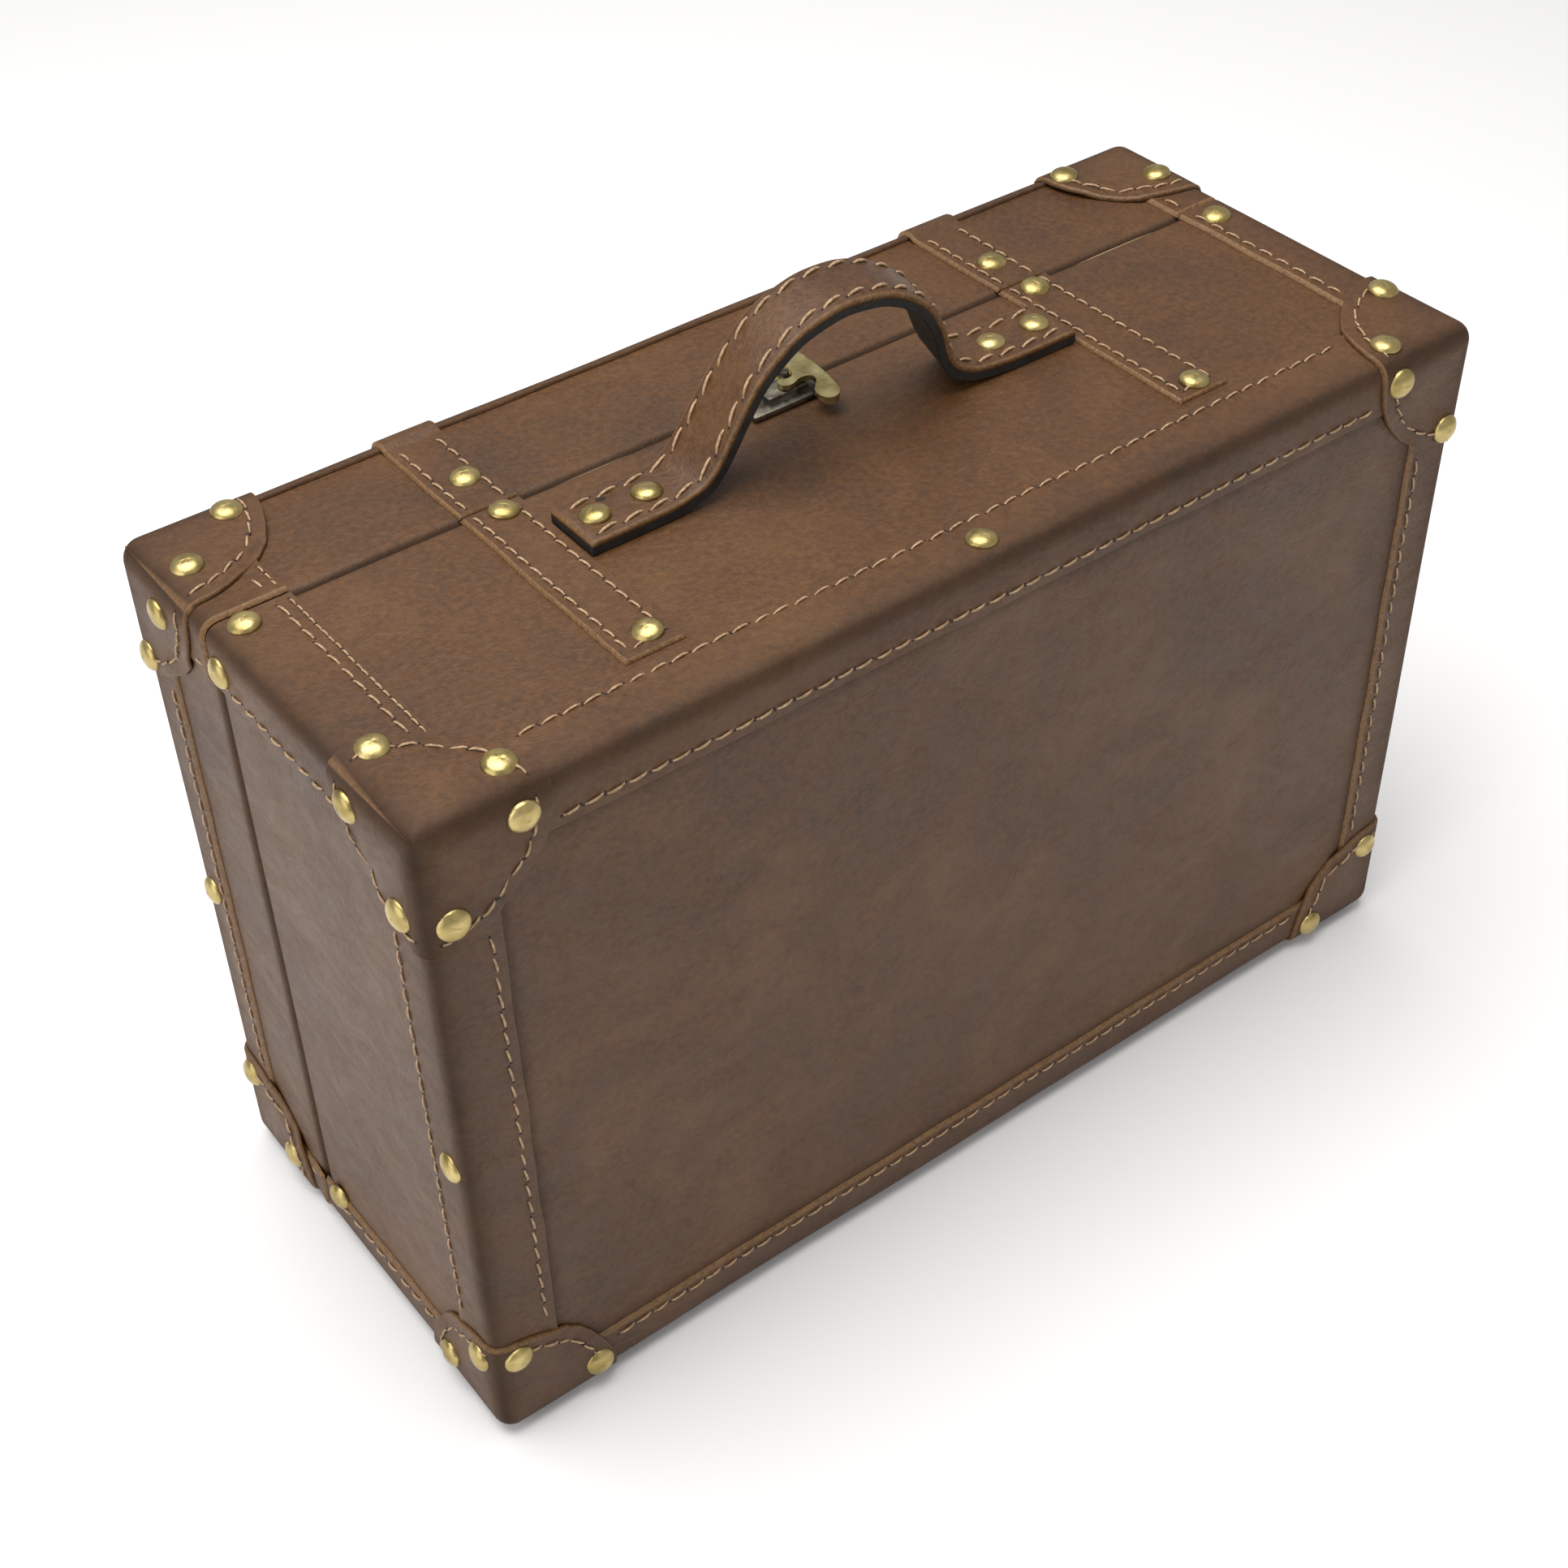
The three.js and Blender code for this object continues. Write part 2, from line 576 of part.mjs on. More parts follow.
function deckPlate() {
  const x = WIDTH / 2 - INNER - GAP;
  const z = HEIGHT / 2 - INNER - GAP;
  const through = [DECK_LOW - 1, DECK_TOP + 1];
  const [switchX, switchZ] = SPEED_AT;
  const switchSpan = [switchZ - SWITCH_SLOT.z, switchZ + SPEED_TRAVEL + SWITCH_SLOT.z];
  const holes = [
    post(SPINDLE_RADIUS + GAP, through, SPINDLE_AT),
    post(2 * PULLEY_SHAFT, through, PULLEY_AT),
    post(COLUMN_RADIUS + GAP, through, ARM_AT),
    post(KNOB_SHAFT + GAP, through, VOLUME_AT),
    post(CUE_POST + GAP, through, CUE_POST_AT),
    block([switchX - SWITCH_SLOT.x, switchX + SWITCH_SLOT.x], through, switchSpan),
    ...grilleSlots(SPEAKERS_AT.upper),
    ...grilleSlots(SPEAKERS_AT.lower),
  ];
  const board = [BOARD_TOP + GAP, DECK_LOW + 1];
  return union([
    block([-x, x], [DECK_LOW, DECK_TOP], [MIDDLE - z, MIDDLE + z]).subtract(union(holes)),
    post(SPINDLE_RADIUS, [DECK_LOW + 1, DECK_TOP + ADAPTER_POST], ADAPTER_AT, 16),
    ...BOARD_CORNERS.map((at) => post(BOARD_POST.radius, board, at, 10)),
  ]);
}

const SPEAKER_DEPTH = 26;
const MAGNET_RADIUS = 15;
const CONE_DEPTH = 10;

function speaker(at) {
  const top = DECK_LOW - GAP;
  return turned(
    [
      [0, top - SPEAKER_DEPTH],
      [MAGNET_RADIUS, top - SPEAKER_DEPTH],
      [MAGNET_RADIUS, top - SPEAKER_DEPTH + CONE_DEPTH],
      [SPEAKER_HOLE + 2, top - 3],
      [SPEAKER_HOLE + 4, top - 3],
      [SPEAKER_HOLE + 4, top],
      [SPEAKER_HOLE, top],
      [8, top - CONE_DEPTH],
      [0, top - CONE_DEPTH],
    ],
    at,
    24,
  );
}

// ---------------------------------------------------------------- platter and drive
const PLATTER_SKIN = 2.2;
const PLATTER_HUB = 12;
const PLATTER_RIM = 4; // wall thickness of the two rims
const SLIPMAT = 1.2;

function platter() {
  const low = DECK_TOP + 2 * GAP;
  const under = PLATTER_TOP - PLATTER_SKIN;
  const bore = SPINDLE_RADIUS + GAP;
  return turned(
    [
      [bore, low],
      [PLATTER_HUB, low],
      [PLATTER_HUB, under],
      [SUB_RIM - PLATTER_RIM, under],
      [SUB_RIM - PLATTER_RIM, low + 1],
      [SUB_RIM, low + 1],
      [SUB_RIM, under],
      [PLATTER_RADIUS - PLATTER_RIM, under],
      [PLATTER_RADIUS - PLATTER_RIM, low + 2],
      [PLATTER_RADIUS, low + 2],
      [PLATTER_RADIUS, PLATTER_TOP - 1],
      [PLATTER_RADIUS - 1, PLATTER_TOP],
      [bore, PLATTER_TOP],
      [bore, low],
    ],
    SPINDLE_AT,
    36,
  );
}

function slipmat() {
  const low = PLATTER_TOP + GAP;
  const bore = SPINDLE_RADIUS + GAP;
  const outer = PLATTER_RADIUS - 3;
  const profile = [
    [bore, low],
    [outer, low],
    [outer, low + SLIPMAT],
    [bore, low + SLIPMAT],
    [bore, low],
  ];
  return turned(profile, SPINDLE_AT, 36);
}

const SPINDLE_TIP = SEAM + 15;
const BEARING = { radius: 5, length: 14, flange: 9, flangeThickness: 3 }; // the sleeve under the deck

function spindle() {
  const top = DECK_LOW - GAP;
  return turned(
    [
      [0, DECK_LOW - BEARING.length],
      [BEARING.radius, DECK_LOW - BEARING.length],
      [BEARING.radius, top - BEARING.flangeThickness],
      [BEARING.flange, top - BEARING.flangeThickness],
      [BEARING.flange, top],
      [SPINDLE_RADIUS, top],
      [SPINDLE_RADIUS, SPINDLE_TIP - 2],
      [SPINDLE_RADIUS - 1, SPINDLE_TIP],
      [0, SPINDLE_TIP],
    ],
    SPINDLE_AT,
    16,
  );
}

// The outline of a belt over two wheels grown by some clearance.
function beltOutline(grow) {
  const spread = THREE.MathUtils.radToDeg(Math.acos((SUB_RIM - PULLEY_RADIUS) / PULLEY_REACH));
  return [
    ...arc(SPINDLE_AT, SUB_RIM + grow, PULLEY_ANGLE + spread, PULLEY_ANGLE + 360 - spread, 30),
    ...arc(PULLEY_AT, PULLEY_RADIUS + grow, PULLEY_ANGLE - spread, PULLEY_ANGLE + spread, 8),
  ];
}

function belt() {
  const y = [DECK_TOP + 2.2, DECK_TOP + 5.2];
  return prismY(beltOutline(1.2), y).subtract(prismY(beltOutline(0.4), [y[0] - 1, y[1] + 1]));
}

const MOTOR_TOP = DECK_LOW - GAP;
const MOTOR = { radius: 17, length: 22, shaftDepth: 5 };

function motor() {
  const body = post(MOTOR.radius, [MOTOR_TOP - MOTOR.length, MOTOR_TOP], PULLEY_AT, 28);
  const hole = [MOTOR_TOP - MOTOR.shaftDepth - 1, MOTOR_TOP + 1];
  return body.subtract(post(PULLEY_SHAFT + GAP, hole, PULLEY_AT, 12));
}

function motorPulley() {
  return turned(
    [
      [0, MOTOR_TOP - MOTOR.shaftDepth],
      [PULLEY_SHAFT, MOTOR_TOP - MOTOR.shaftDepth],
      [PULLEY_SHAFT, DECK_TOP + 1.6],
      [PULLEY_RADIUS, DECK_TOP + 1.6],
      [PULLEY_RADIUS, DECK_TOP + 5.4],
      [0, DECK_TOP + 5.4],
    ],
    PULLEY_AT,
    20,
  );
}

// ---------------------------------------------------------------- tonearm
const COLUMN_TOP = SEAM + 4;
const ARM_Y = SEAM + 18; // height of the arm tube's centre line
const TUBE_RADIUS = 4;
const TAIL_RADIUS = 3.5; // the stub that carries the counterweight
const STYLUS_Y = PLATTER_TOP + GAP + SLIPMAT + 2; // a record is 2 thick at most
const [ARM_X, ARM_Z] = ARM_AT;
const STYLUS_Z = ARM_Z + ARM_LENGTH;

// A solid cylinder along Z.
function tube(radius, [z0, z1], [x, y], sides = 14) {
  return prismZ(arc([x, y], radius, 0, 360 - 360 / sides, sides - 1), [z0, z1]);
}

// Two cheeks that carry the cue lever's axle.
function cueCheeks() {
  const [x, z] = CUE_AT;
  const y = [DECK_TOP + GAP, DECK_TOP + 13];
  const cheeks = [-1, 1].map((side) => block(ordered(x + side * 2.3, x + side * 4.3), y, [z - 4, z + 4]));
  return union(cheeks).subtract(rod(1.5, [x - FAR, x + FAR], [DECK_TOP + CUE_HEIGHT, z]));
}

// The arm's column and the cue cheeks, moulded on one foot.
function tonearmBase() {
  const foot = block([ARM_X, CUE_AT[0] + 4.3], [DECK_TOP + GAP, DECK_TOP + 2], [ARM_Z, CUE_AT[1] + 4]);
  const column = turned(
    [
      [0, DECK_LOW - 6],
      [COLUMN_RADIUS, DECK_LOW - 6],
      [COLUMN_RADIUS, DECK_TOP + GAP],
      [17, DECK_TOP + GAP],
      [17, DECK_TOP + 3],
      [9, DECK_TOP + 3],
      [9, COLUMN_TOP],
      [2.5, COLUMN_TOP],
      [2.5, COLUMN_TOP + 4],
      [0, COLUMN_TOP + 4],
    ],
    ARM_AT,
    20,
  );
  return union([column, foot, cueCheeks()]);
}

function tonearmYoke() {
  const low = COLUMN_TOP + GAP;
  const parts = [post(9.5, [low, low + 5], ARM_AT, 20)];
  for (const side of SIDES) {
    const cheek = ordered(ARM_X + side * 6.5, ARM_X + side * 9);
    parts.push(block(cheek, [low + 4, ARM_Y + 3.5], [ARM_Z - 3.5, ARM_Z + 3.5]));
  }
  return union(parts)
    .subtract(post(2.8, [low - 1, low + 6], ARM_AT, 16))
    .subtract(rod(1.5, [ARM_X - FAR, ARM_X + FAR], [ARM_Y, ARM_Z]));
}

function tonearm() {
  return union([
    block([ARM_X - 6, ARM_X + 6], [ARM_Y - 5, ARM_Y + 5], [ARM_Z - 7, ARM_Z + 7]),
    rod(1.2, [ARM_X - 8.8, ARM_X + 8.8], [ARM_Y, ARM_Z]),
    tube(TUBE_RADIUS, [ARM_Z + 6, STYLUS_Z - 18], [ARM_X, ARM_Y]),
    tube(TAIL_RADIUS, [ARM_Z - 32, ARM_Z - 6], [ARM_X, ARM_Y]),
    block([ARM_X - 7, ARM_X + 7], [ARM_Y - 3, ARM_Y + 3.5], [STYLUS_Z - 22, STYLUS_Z + 6]),
    block([ARM_X + 6, ARM_X + 13], [ARM_Y, ARM_Y + 1.5], [STYLUS_Z - 10, STYLUS_Z - 5]),
  ]);
}

function counterweight() {
  const z = [ARM_Z - 30, ARM_Z - 12];
  const bore = tube(TAIL_RADIUS + GAP, [z[0] - 1, z[1] + 1], [ARM_X, ARM_Y]);
  return tube(10, z, [ARM_X, ARM_Y], 18).subtract(bore);
}

// The cartridge body with its stylus as a small tapered tip that points down to the record.
function cartridge() {
  const top = ARM_Y - 3 - GAP;
  const tip = [
    [top - 5, STYLUS_Z - 5],
    [STYLUS_Y, STYLUS_Z - 0.6],
    [STYLUS_Y, STYLUS_Z + 0.6],
    [top - 5, STYLUS_Z + 2],
  ];
  const body = block([ARM_X - 5.5, ARM_X + 5.5], [top - 6, top], [STYLUS_Z - 14, STYLUS_Z + 4]);
  return body.add(prismX(tip, [ARM_X - 1.2, ARM_X + 1.2]));
}

const REST_Z = ARM_Z + 118;

// A post with a shelf under the tube, a stop on the outer side and a lug for the clip.
function armRest() {
  const z = [REST_Z - 4, REST_Z + 4];
  const shelf = ARM_Y - TUBE_RADIUS - GAP;
  const outer = ARM_X + TUBE_RADIUS + GAP;
  return union([
    post(4, [DECK_TOP + GAP, shelf - 1], [ARM_X, REST_Z], 20),
    block([ARM_X - 5, outer + 3.5], [shelf - 3, shelf], z),
    block([outer, outer + 3.5], [shelf - 1, ARM_Y + TUBE_RADIUS + 0.8], [REST_Z - 4, REST_Z - 0.5]),
  ]);
}

const CLIP_AT = [ARM_X + TUBE_RADIUS + GAP + 1.75, ARM_Y + TUBE_RADIUS + 2.6];

// The clip stands open and turns down over the tube.
function armClip() {
  const [x, y] = CLIP_AT;
  return union([
    tube(1.6, [REST_Z - 4, REST_Z + 4], [x, y], 12),
    block([x - 0.8, x + 0.8], [y, y + 11], [REST_Z - 4, REST_Z + 4]),
  ]);
}

// ---------------------------------------------------------------- cueing
function cuePlatform() {
  const top = ARM_Y - TUBE_RADIUS - GAP;
  const centre = [ARM_X, ARM_Z];
  const outer = arc(centre, CUE_RADIUS + CUE_POST, 70, 140, 10);
  const inner = arc(centre, CUE_RADIUS - CUE_POST, 140, 70, 10);
  const bar = prismY([...outer, ...inner], [top - 2, top]);
  return bar.add(post(CUE_POST, [DECK_LOW - 4, top - 1], CUE_POST_AT, 12));
}

function cueLever() {
  const [x, z] = CUE_AT;
  const y = DECK_TOP + CUE_HEIGHT;
  return union([
    rod(1.2, [x - 4, x + 4], [y, z]),
    block([x - 2, x + 2], [y - 2.5, y + 2.5], [z - 3, z + 3]),
    block([x - 1.5, x + 1.5], [y - 1, y + 1.5], [z + 2, z + 24]),
    block([x - 3, x + 3], [y - 1.5, y + 2.5], [z + 22, z + 30]),
  ]);
}

// ---------------------------------------------------------------- controls and electronics
const KNOB = { radius: 10, height: 13 };

function volumeKnob() {
  const low = DECK_TOP + 0.8;
  return turned(
    [
      [0, DECK_LOW - 8],
      [KNOB_SHAFT, DECK_LOW - 8],
      [KNOB_SHAFT, low],
      [KNOB.radius, low],
      [KNOB.radius - 0.7, low + KNOB.height - 1],
      [KNOB.radius - 1.7, low + KNOB.height],
      [0, low + KNOB.height],
    ],
    VOLUME_AT,
    20,
  );
}

function speedSwitch() {
  const [x, z] = SPEED_AT;
  return union([
    block([x - 5, x + 5], [DECK_TOP + GAP, DECK_TOP + 5], [z - 4, z + 4]),
    block([x - 1.5, x + 1.5], [DECK_LOW - 4, DECK_TOP + 1], [z - 2, z + 2]),
  ]);
}

// Fits the large centre hole of a 7 inch record.
const ADAPTER = { radius: 18, height: 5 };

function singleAdapter() {
  const low = DECK_TOP + GAP;
  const bore = SPINDLE_RADIUS + GAP;
  const profile = [
    [bore, low],
    [ADAPTER.radius, low],
    [ADAPTER.radius, low + ADAPTER.height - 2],
    [ADAPTER.radius - 4, low + ADAPTER.height],
    [bore, low + ADAPTER.height],
    [bore, low],
  ];
  return turned(profile, ADAPTER_AT, 24);
}

// The amplifier board, with the volume control's body standing up to meet the knob's shaft.
function circuitBoard() {
  const [x, z] = VOLUME_AT;
  const y = [BOARD_TOP - 1.6, BOARD_TOP];
  const can = post(6, [BOARD_TOP - 18, BOARD_TOP - 1], [x - 30, MIDDLE + 10], 16);
  const control = block([x - 8, x + 8], [BOARD_TOP - 1, DECK_LOW - 3], [z - 8, z + 8]);
  const sink = block([x - 24, x - 8], [BOARD_TOP - 14, BOARD_TOP - 1], [MIDDLE + 12, MIDDLE + 26]);
  return union([block(BOARD.x, y, BOARD.z), can, control, sink]).subtract(
    post(KNOB_SHAFT + GAP, [DECK_LOW - 9, DECK_LOW], VOLUME_AT, 16),
  );
}

const SOCKET = { x: [70, 130], y: [-50, -26], reach: 20, rim: 3 }; // plate, block depth and overlap
const SOCKET_RADIUS = 3.3;
const SOCKETS_X = [82, 102, 118];

// The footprint of the block behind the plate, grown by some clearance.
function socketBlock(grow, z) {
  const [x, y] = [SOCKET.x, SOCKET.y].map(([a, b]) => [a + SOCKET.rim - grow, b - SOCKET.rim + grow]);
  return block(x, y, z);
}

function socketOpening() {
  return socketBlock(0, [LIFT - 1, LIFT + INNER + 1]);
}

// A plate on the hinge side of the base with a power inlet and two signal sockets in the block behind it.
function socketPlate() {
  const plate = block(SOCKET.x, SOCKET.y, [LIFT - GAP - 1.2, LIFT - GAP]);
  const body = socketBlock(-GAP, [LIFT - GAP - 0.5, LIFT + SOCKET.reach]);
  const y = (SOCKET.y[0] + SOCKET.y[1]) / 2;
  const depth = [LIFT - 3, LIFT + SOCKET.reach - 5];
  const holes = SOCKETS_X.map((x) => tube(SOCKET_RADIUS, depth, [x, y], 12));
  return plate.add(body).subtract(union(holes));
}

// ---------------------------------------------------------------- assembly
add("base_box", baseBox().subtract(socketOpening()), "wood");
add("base_leather", leatherSkin(BASE).subtract(socketOpening()), "leather");
add("base_face_binding", baseFaceBinding(), "trim_leather");
add("lid_box", tray(LID, -WOOD_IN, -INNER), "wood");
add("lid_leather", leatherSkin(LID), "leather");
add("lid_face_binding", lidFaceBinding(), "trim_leather");
add("lid_lining", tray(LID, -INNER - GAP, -INNER - GAP - 1), "lining_cloth");
for (const [side, right] of [["left", -1], ["right", 1]]) {
  for (const [level, up] of [["top", 1], ["bottom", -1]]) {
    const base = sideBinding(BASE, right, up).add(seamNails(right, up));
    add(`base_binding_${level}_${side}`, base, "trim_leather");
    add(`lid_binding_${level}_${side}`, sideBinding(LID, right, up), "trim_leather");
    add(`base_patch_${level}_${side}`, cornerPatch(BASE, right, up), "trim_leather");
    add(`lid_patch_${level}_${side}`, cornerPatch(LID, right, up), "trim_leather");
  }
  add(`base_strap_${side}`, baseStrap(right * STRAP_FROM_CENTRE), "trim_leather");
  add(`lid_strap_${side}`, lidStrap(right * STRAP_FROM_CENTRE), "trim_leather");
  const hingeX = right * HINGE_FROM_CENTRE;
  add(`hinge_base_${side}`, hingeBase(hingeX), "brass");
  add(`hinge_lid_${side}`, hingeLid(hingeX), "brass");
}
add("handle_strap", handleLeather(), "trim_leather");
add("handle_backing", handleRibbon(0, HANDLE_BACKING), "lining");
add("latch_base_plate", latchBase(), "brass");
add("latch_lid_plate", latchLid(), "brass");
add("latch_hook", latchHook(), "brass");
add("deck_plate", deckPlate(), "deck_vinyl");
for (const [place, at] of Object.entries(SPEAKERS_AT)) {
  add(`speaker_${place}`, speaker(at), "black_plastic");
}
add("spindle", spindle(), "steel");
add("platter", platter(), "black_plastic");
add("slipmat", slipmat(), "felt");
add("belt", belt(), "rubber");
add("motor", motor(), "steel");
add("motor_pulley", motorPulley(), "brass");
add("tonearm_base", tonearmBase(), "black_plastic");
add("tonearm_yoke", tonearmYoke(), "black_plastic");
add("tonearm", tonearm(), "black_plastic");
add("counterweight", counterweight(), "steel");
add("cartridge", cartridge(), "black_plastic");
add("arm_rest", armRest(), "black_plastic");
add("arm_clip", armClip(), "black_plastic");
add("cue_lever", cueLever(), "black_plastic");
add("cue_platform", cuePlatform(), "steel");
add("volume_knob", volumeKnob(), "brass");
add("speed_switch", speedSwitch(), "black_plastic");
add("single_adapter", singleAdapter(), "black_plastic");
add("circuit_board", circuitBoard(), "board");
add("socket_plate", socketPlate(), "black_plastic");

export default part;
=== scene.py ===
"""A leather-covered suitcase record player, closed, on its hinge side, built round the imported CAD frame.

Leather pieces are first laid out on the sharp box of the case and then draped on its rounded form: the core
point (the box shrunk by the edge rounding, nearest to the flat point) plus the outward direction times the
rounding, the piece's height and a slow unevenness that every layer shares.
"""

import math

import bmesh
import bpy
import numpy as np
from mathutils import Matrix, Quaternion, Vector


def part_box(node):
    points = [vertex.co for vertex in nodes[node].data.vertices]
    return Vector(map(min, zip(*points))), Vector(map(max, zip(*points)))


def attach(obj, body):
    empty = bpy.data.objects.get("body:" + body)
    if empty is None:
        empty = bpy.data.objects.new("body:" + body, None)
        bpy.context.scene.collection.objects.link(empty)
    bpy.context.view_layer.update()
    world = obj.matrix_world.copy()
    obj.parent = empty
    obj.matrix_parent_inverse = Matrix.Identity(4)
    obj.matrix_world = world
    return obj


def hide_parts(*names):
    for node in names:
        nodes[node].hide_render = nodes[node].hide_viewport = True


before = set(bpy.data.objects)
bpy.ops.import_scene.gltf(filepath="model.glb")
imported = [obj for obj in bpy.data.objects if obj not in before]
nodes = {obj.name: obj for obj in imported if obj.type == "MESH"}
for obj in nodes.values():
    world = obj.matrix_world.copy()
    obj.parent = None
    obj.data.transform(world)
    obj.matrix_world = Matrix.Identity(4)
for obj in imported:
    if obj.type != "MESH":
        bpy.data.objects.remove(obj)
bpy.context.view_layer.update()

# ---------------------------------------------------------------- camera, floor and light
# A pale paper floor under a large soft light overhead, with soft lights on the left and in front.
MM = 0.001
CAMERA_AT = Vector((-351.6, -454.9, 610.6)) * MM
CAMERA_AIM = Vector((-74.0, -74.5, 196.2)) * MM
CAMERA_ROLL = -1.55
FLOOR_COLOR = (0.93, 0.93, 0.93, 1)
FLOOR_REACH = 6
LIGHT_SIZE = 1.4
LIGHTS = {
    "overhead": {"at": (-0.2, 0.1, 1.5), "aim": (0, 0, 0.15), "power": 24, "color": (1, 0.985, 0.96)},
    "left_wall": {"at": (-1.5, -0.2, 0.7), "aim": (0, 0, 0.12), "power": 8, "color": (0.97, 0.985, 1)},
    "front_fill": {"at": (0.35, -1.6, 0.9), "aim": (0, 0, 0.12), "power": 1, "color": (1, 0.99, 0.98)},
}

camera = bpy.data.objects.new("camera", bpy.data.cameras.new("camera"))
camera.data.sensor_width = 36
camera.data.lens = 55.5
camera.location = CAMERA_AT
camera.rotation_mode = "QUATERNION"
toward = (CAMERA_AIM - CAMERA_AT).to_track_quat("-Z", "Y")
camera.rotation_quaternion = toward @ Quaternion((0, 0, 1), math.radians(CAMERA_ROLL))
bpy.context.collection.objects.link(camera)
bpy.context.scene.camera = camera

for name, spec in LIGHTS.items():
    lamp = bpy.data.lights.new(name, "AREA")
    lamp.shape = "DISK"
    lamp.size = LIGHT_SIZE
    lamp.energy = spec["power"]
    lamp.color = spec["color"]
    light = bpy.data.objects.new(name, lamp)
    light.location = spec["at"]
    light.rotation_euler = (Vector(spec["aim"]) - Vector(spec["at"])).to_track_quat("-Z", "Y").to_euler()
    bpy.context.collection.objects.link(light)

world = bpy.data.worlds.new("studio")
world.use_nodes = True
world.node_tree.nodes["Background"].inputs["Color"].default_value = (1, 1, 1, 1)
world.node_tree.nodes["Background"].inputs["Strength"].default_value = 0.45
bpy.context.scene.world = world
bpy.context.scene.view_settings.view_transform = "Standard"

floor_material = bpy.data.materials.new("floor_paper")
floor_material.use_nodes = True
floor_material.node_tree.nodes["Principled BSDF"].inputs["Base Color"].default_value = FLOOR_COLOR
floor_material.node_tree.nodes["Principled BSDF"].inputs["Roughness"].default_value = 0.9
floor_mesh = bpy.data.meshes.new("floor")
floor_corners = [(x * FLOOR_REACH, y * FLOOR_REACH, 0) for x, y in ((-1, -1), (1, -1), (1, 1), (-1, 1))]
floor_mesh.from_pydata(floor_corners, [], [(0, 1, 2, 3)])
floor_mesh.materials.append(floor_material)
floor = bpy.data.objects.new("floor", floor_mesh)
bpy.context.collection.objects.link(floor)

# ---------------------------------------------------------------- the covering leather
# Both halves of the case are covered in oiled brown cowhide about 1 mm thick, glued over rounded plywood.
# It dips at the seam and is creased along the stitched bindings, and painted shade darkens its colour in the
# seam's groove and along those creases.
case_low = np.array(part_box("base_leather")[0])
case_high = np.array(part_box("lid_leather")[1])
SEAM = (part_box("base_leather")[1][1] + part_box("lid_leather")[0][1]) / 2
LEFT, BASE_FACE, BOTTOM = case_low
RIGHT, LID_FACE, TOP = case_high
EDGE_ROUND = 3.4 * MM
UNEVEN = 0.30 * MM
SKIN = 1.2 * MM
LEATHER = (0.086, 0.0345, 0.0088)
LEATHER_DARK = (0.045, 0.0205, 0.0078)
LEATHER_PALE = (0.130, 0.0610, 0.0180)
RAW_EDGE = (0.205, 0.105, 0.040)
random = np.random.default_rng(7)


def unevenness(place):
    """Slow waves of the hide, up to UNEVEN high: the mean of three sines of slanted distances."""
    x, y, z = place[..., 0], place[..., 1], place[..., 2]
    waves = np.sin(37 * x + 21 * z + 1.3) + np.sin(29 * y - 33 * z + 0.4) + np.sin(61 * x - 47 * y + 17 * z)
    return UNEVEN * waves / 3


def outward(flat):
    """The core point under each point of the sharp box and the unit direction from one to the other."""
    core = np.clip(flat, case_low + EDGE_ROUND, case_high - EDGE_ROUND)
    away = flat - core
    return core, away / np.linalg.norm(away, axis=-1, keepdims=True)


def drape(flat, height):
    """Lays points of the sharp box on the rounded case at a height above its leather."""
    core, away = outward(flat)
    lift = EDGE_ROUND + height + unevenness(core)
    return core + away * np.asarray(lift)[..., None]


def edge_wear(flat):
    """How much handling has darkened the hide: two bells of the distance to the nearest case edge."""
    near_walls = np.minimum(flat - case_low, case_high - flat)
    from_edge = np.sort(near_walls, axis=-1)[..., 1]
    return 0.62 * bell(from_edge, 2.6 * MM) + 0.28 * bell(from_edge, 9 * MM)


def bell(distance, width):
    """1 at distance 0, falling smoothly towards 0 past width."""
    return np.exp(-((distance / width) ** 2))


def smooth(value):
    """0 below 0, 1 above 1 and 3v^2 - 2v^3 between."""
    held = np.clip(value, 0, 1)
    return held * held * (3 - 2 * held)


def grid_faces(rows, columns, wrap=False, first=0):
    """Quads of a rows by columns grid of vertices, with the last row joined to the first when wrap is set."""
    row = np.arange(rows if wrap else rows - 1)
    after = (row + 1) % rows
    column = np.arange(columns - 1)
    a = row[:, None] * columns + column
    b = after[:, None] * columns + column
    return np.stack([a, b, b + 1, a + 1], axis=-1).reshape(-1, 4) + first


def make_piece(name, points, faces, material, body, marks=None, crease=None, merge=0.01 * MM):
    """A mesh from points and faces with doubles merged and faces turned outwards, riding on a body."""
    mesh = bpy.data.meshes.new(name)
    mesh.from_pydata(np.asarray(points, float).reshape(-1, 3).tolist(), [], [tuple(f) for f in faces])
    for mark, values in (marks or {}).items():
        layer = mesh.attributes.new(mark, "FLOAT", "POINT")
        layer.data.foreach_set("value", np.asarray(values, np.float32).ravel())
    shape = bmesh.new()
    shape.from_mesh(mesh)
    if merge:
        bmesh.ops.remove_doubles(shape, verts=shape.verts, dist=merge)
    bmesh.ops.recalc_face_normals(shape, faces=shape.faces)
    shape.to_mesh(mesh)
    shape.free()
    mesh.polygons.foreach_set("use_smooth", np.ones(len(mesh.polygons), bool))
    if crease:
        mesh.set_sharp_from_angle(angle=math.radians(crease))
    mesh.materials.append(material)
    piece = bpy.data.objects.new(name, mesh)
    bpy.context.collection.objects.link(piece)
    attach(piece, body)
    return piece


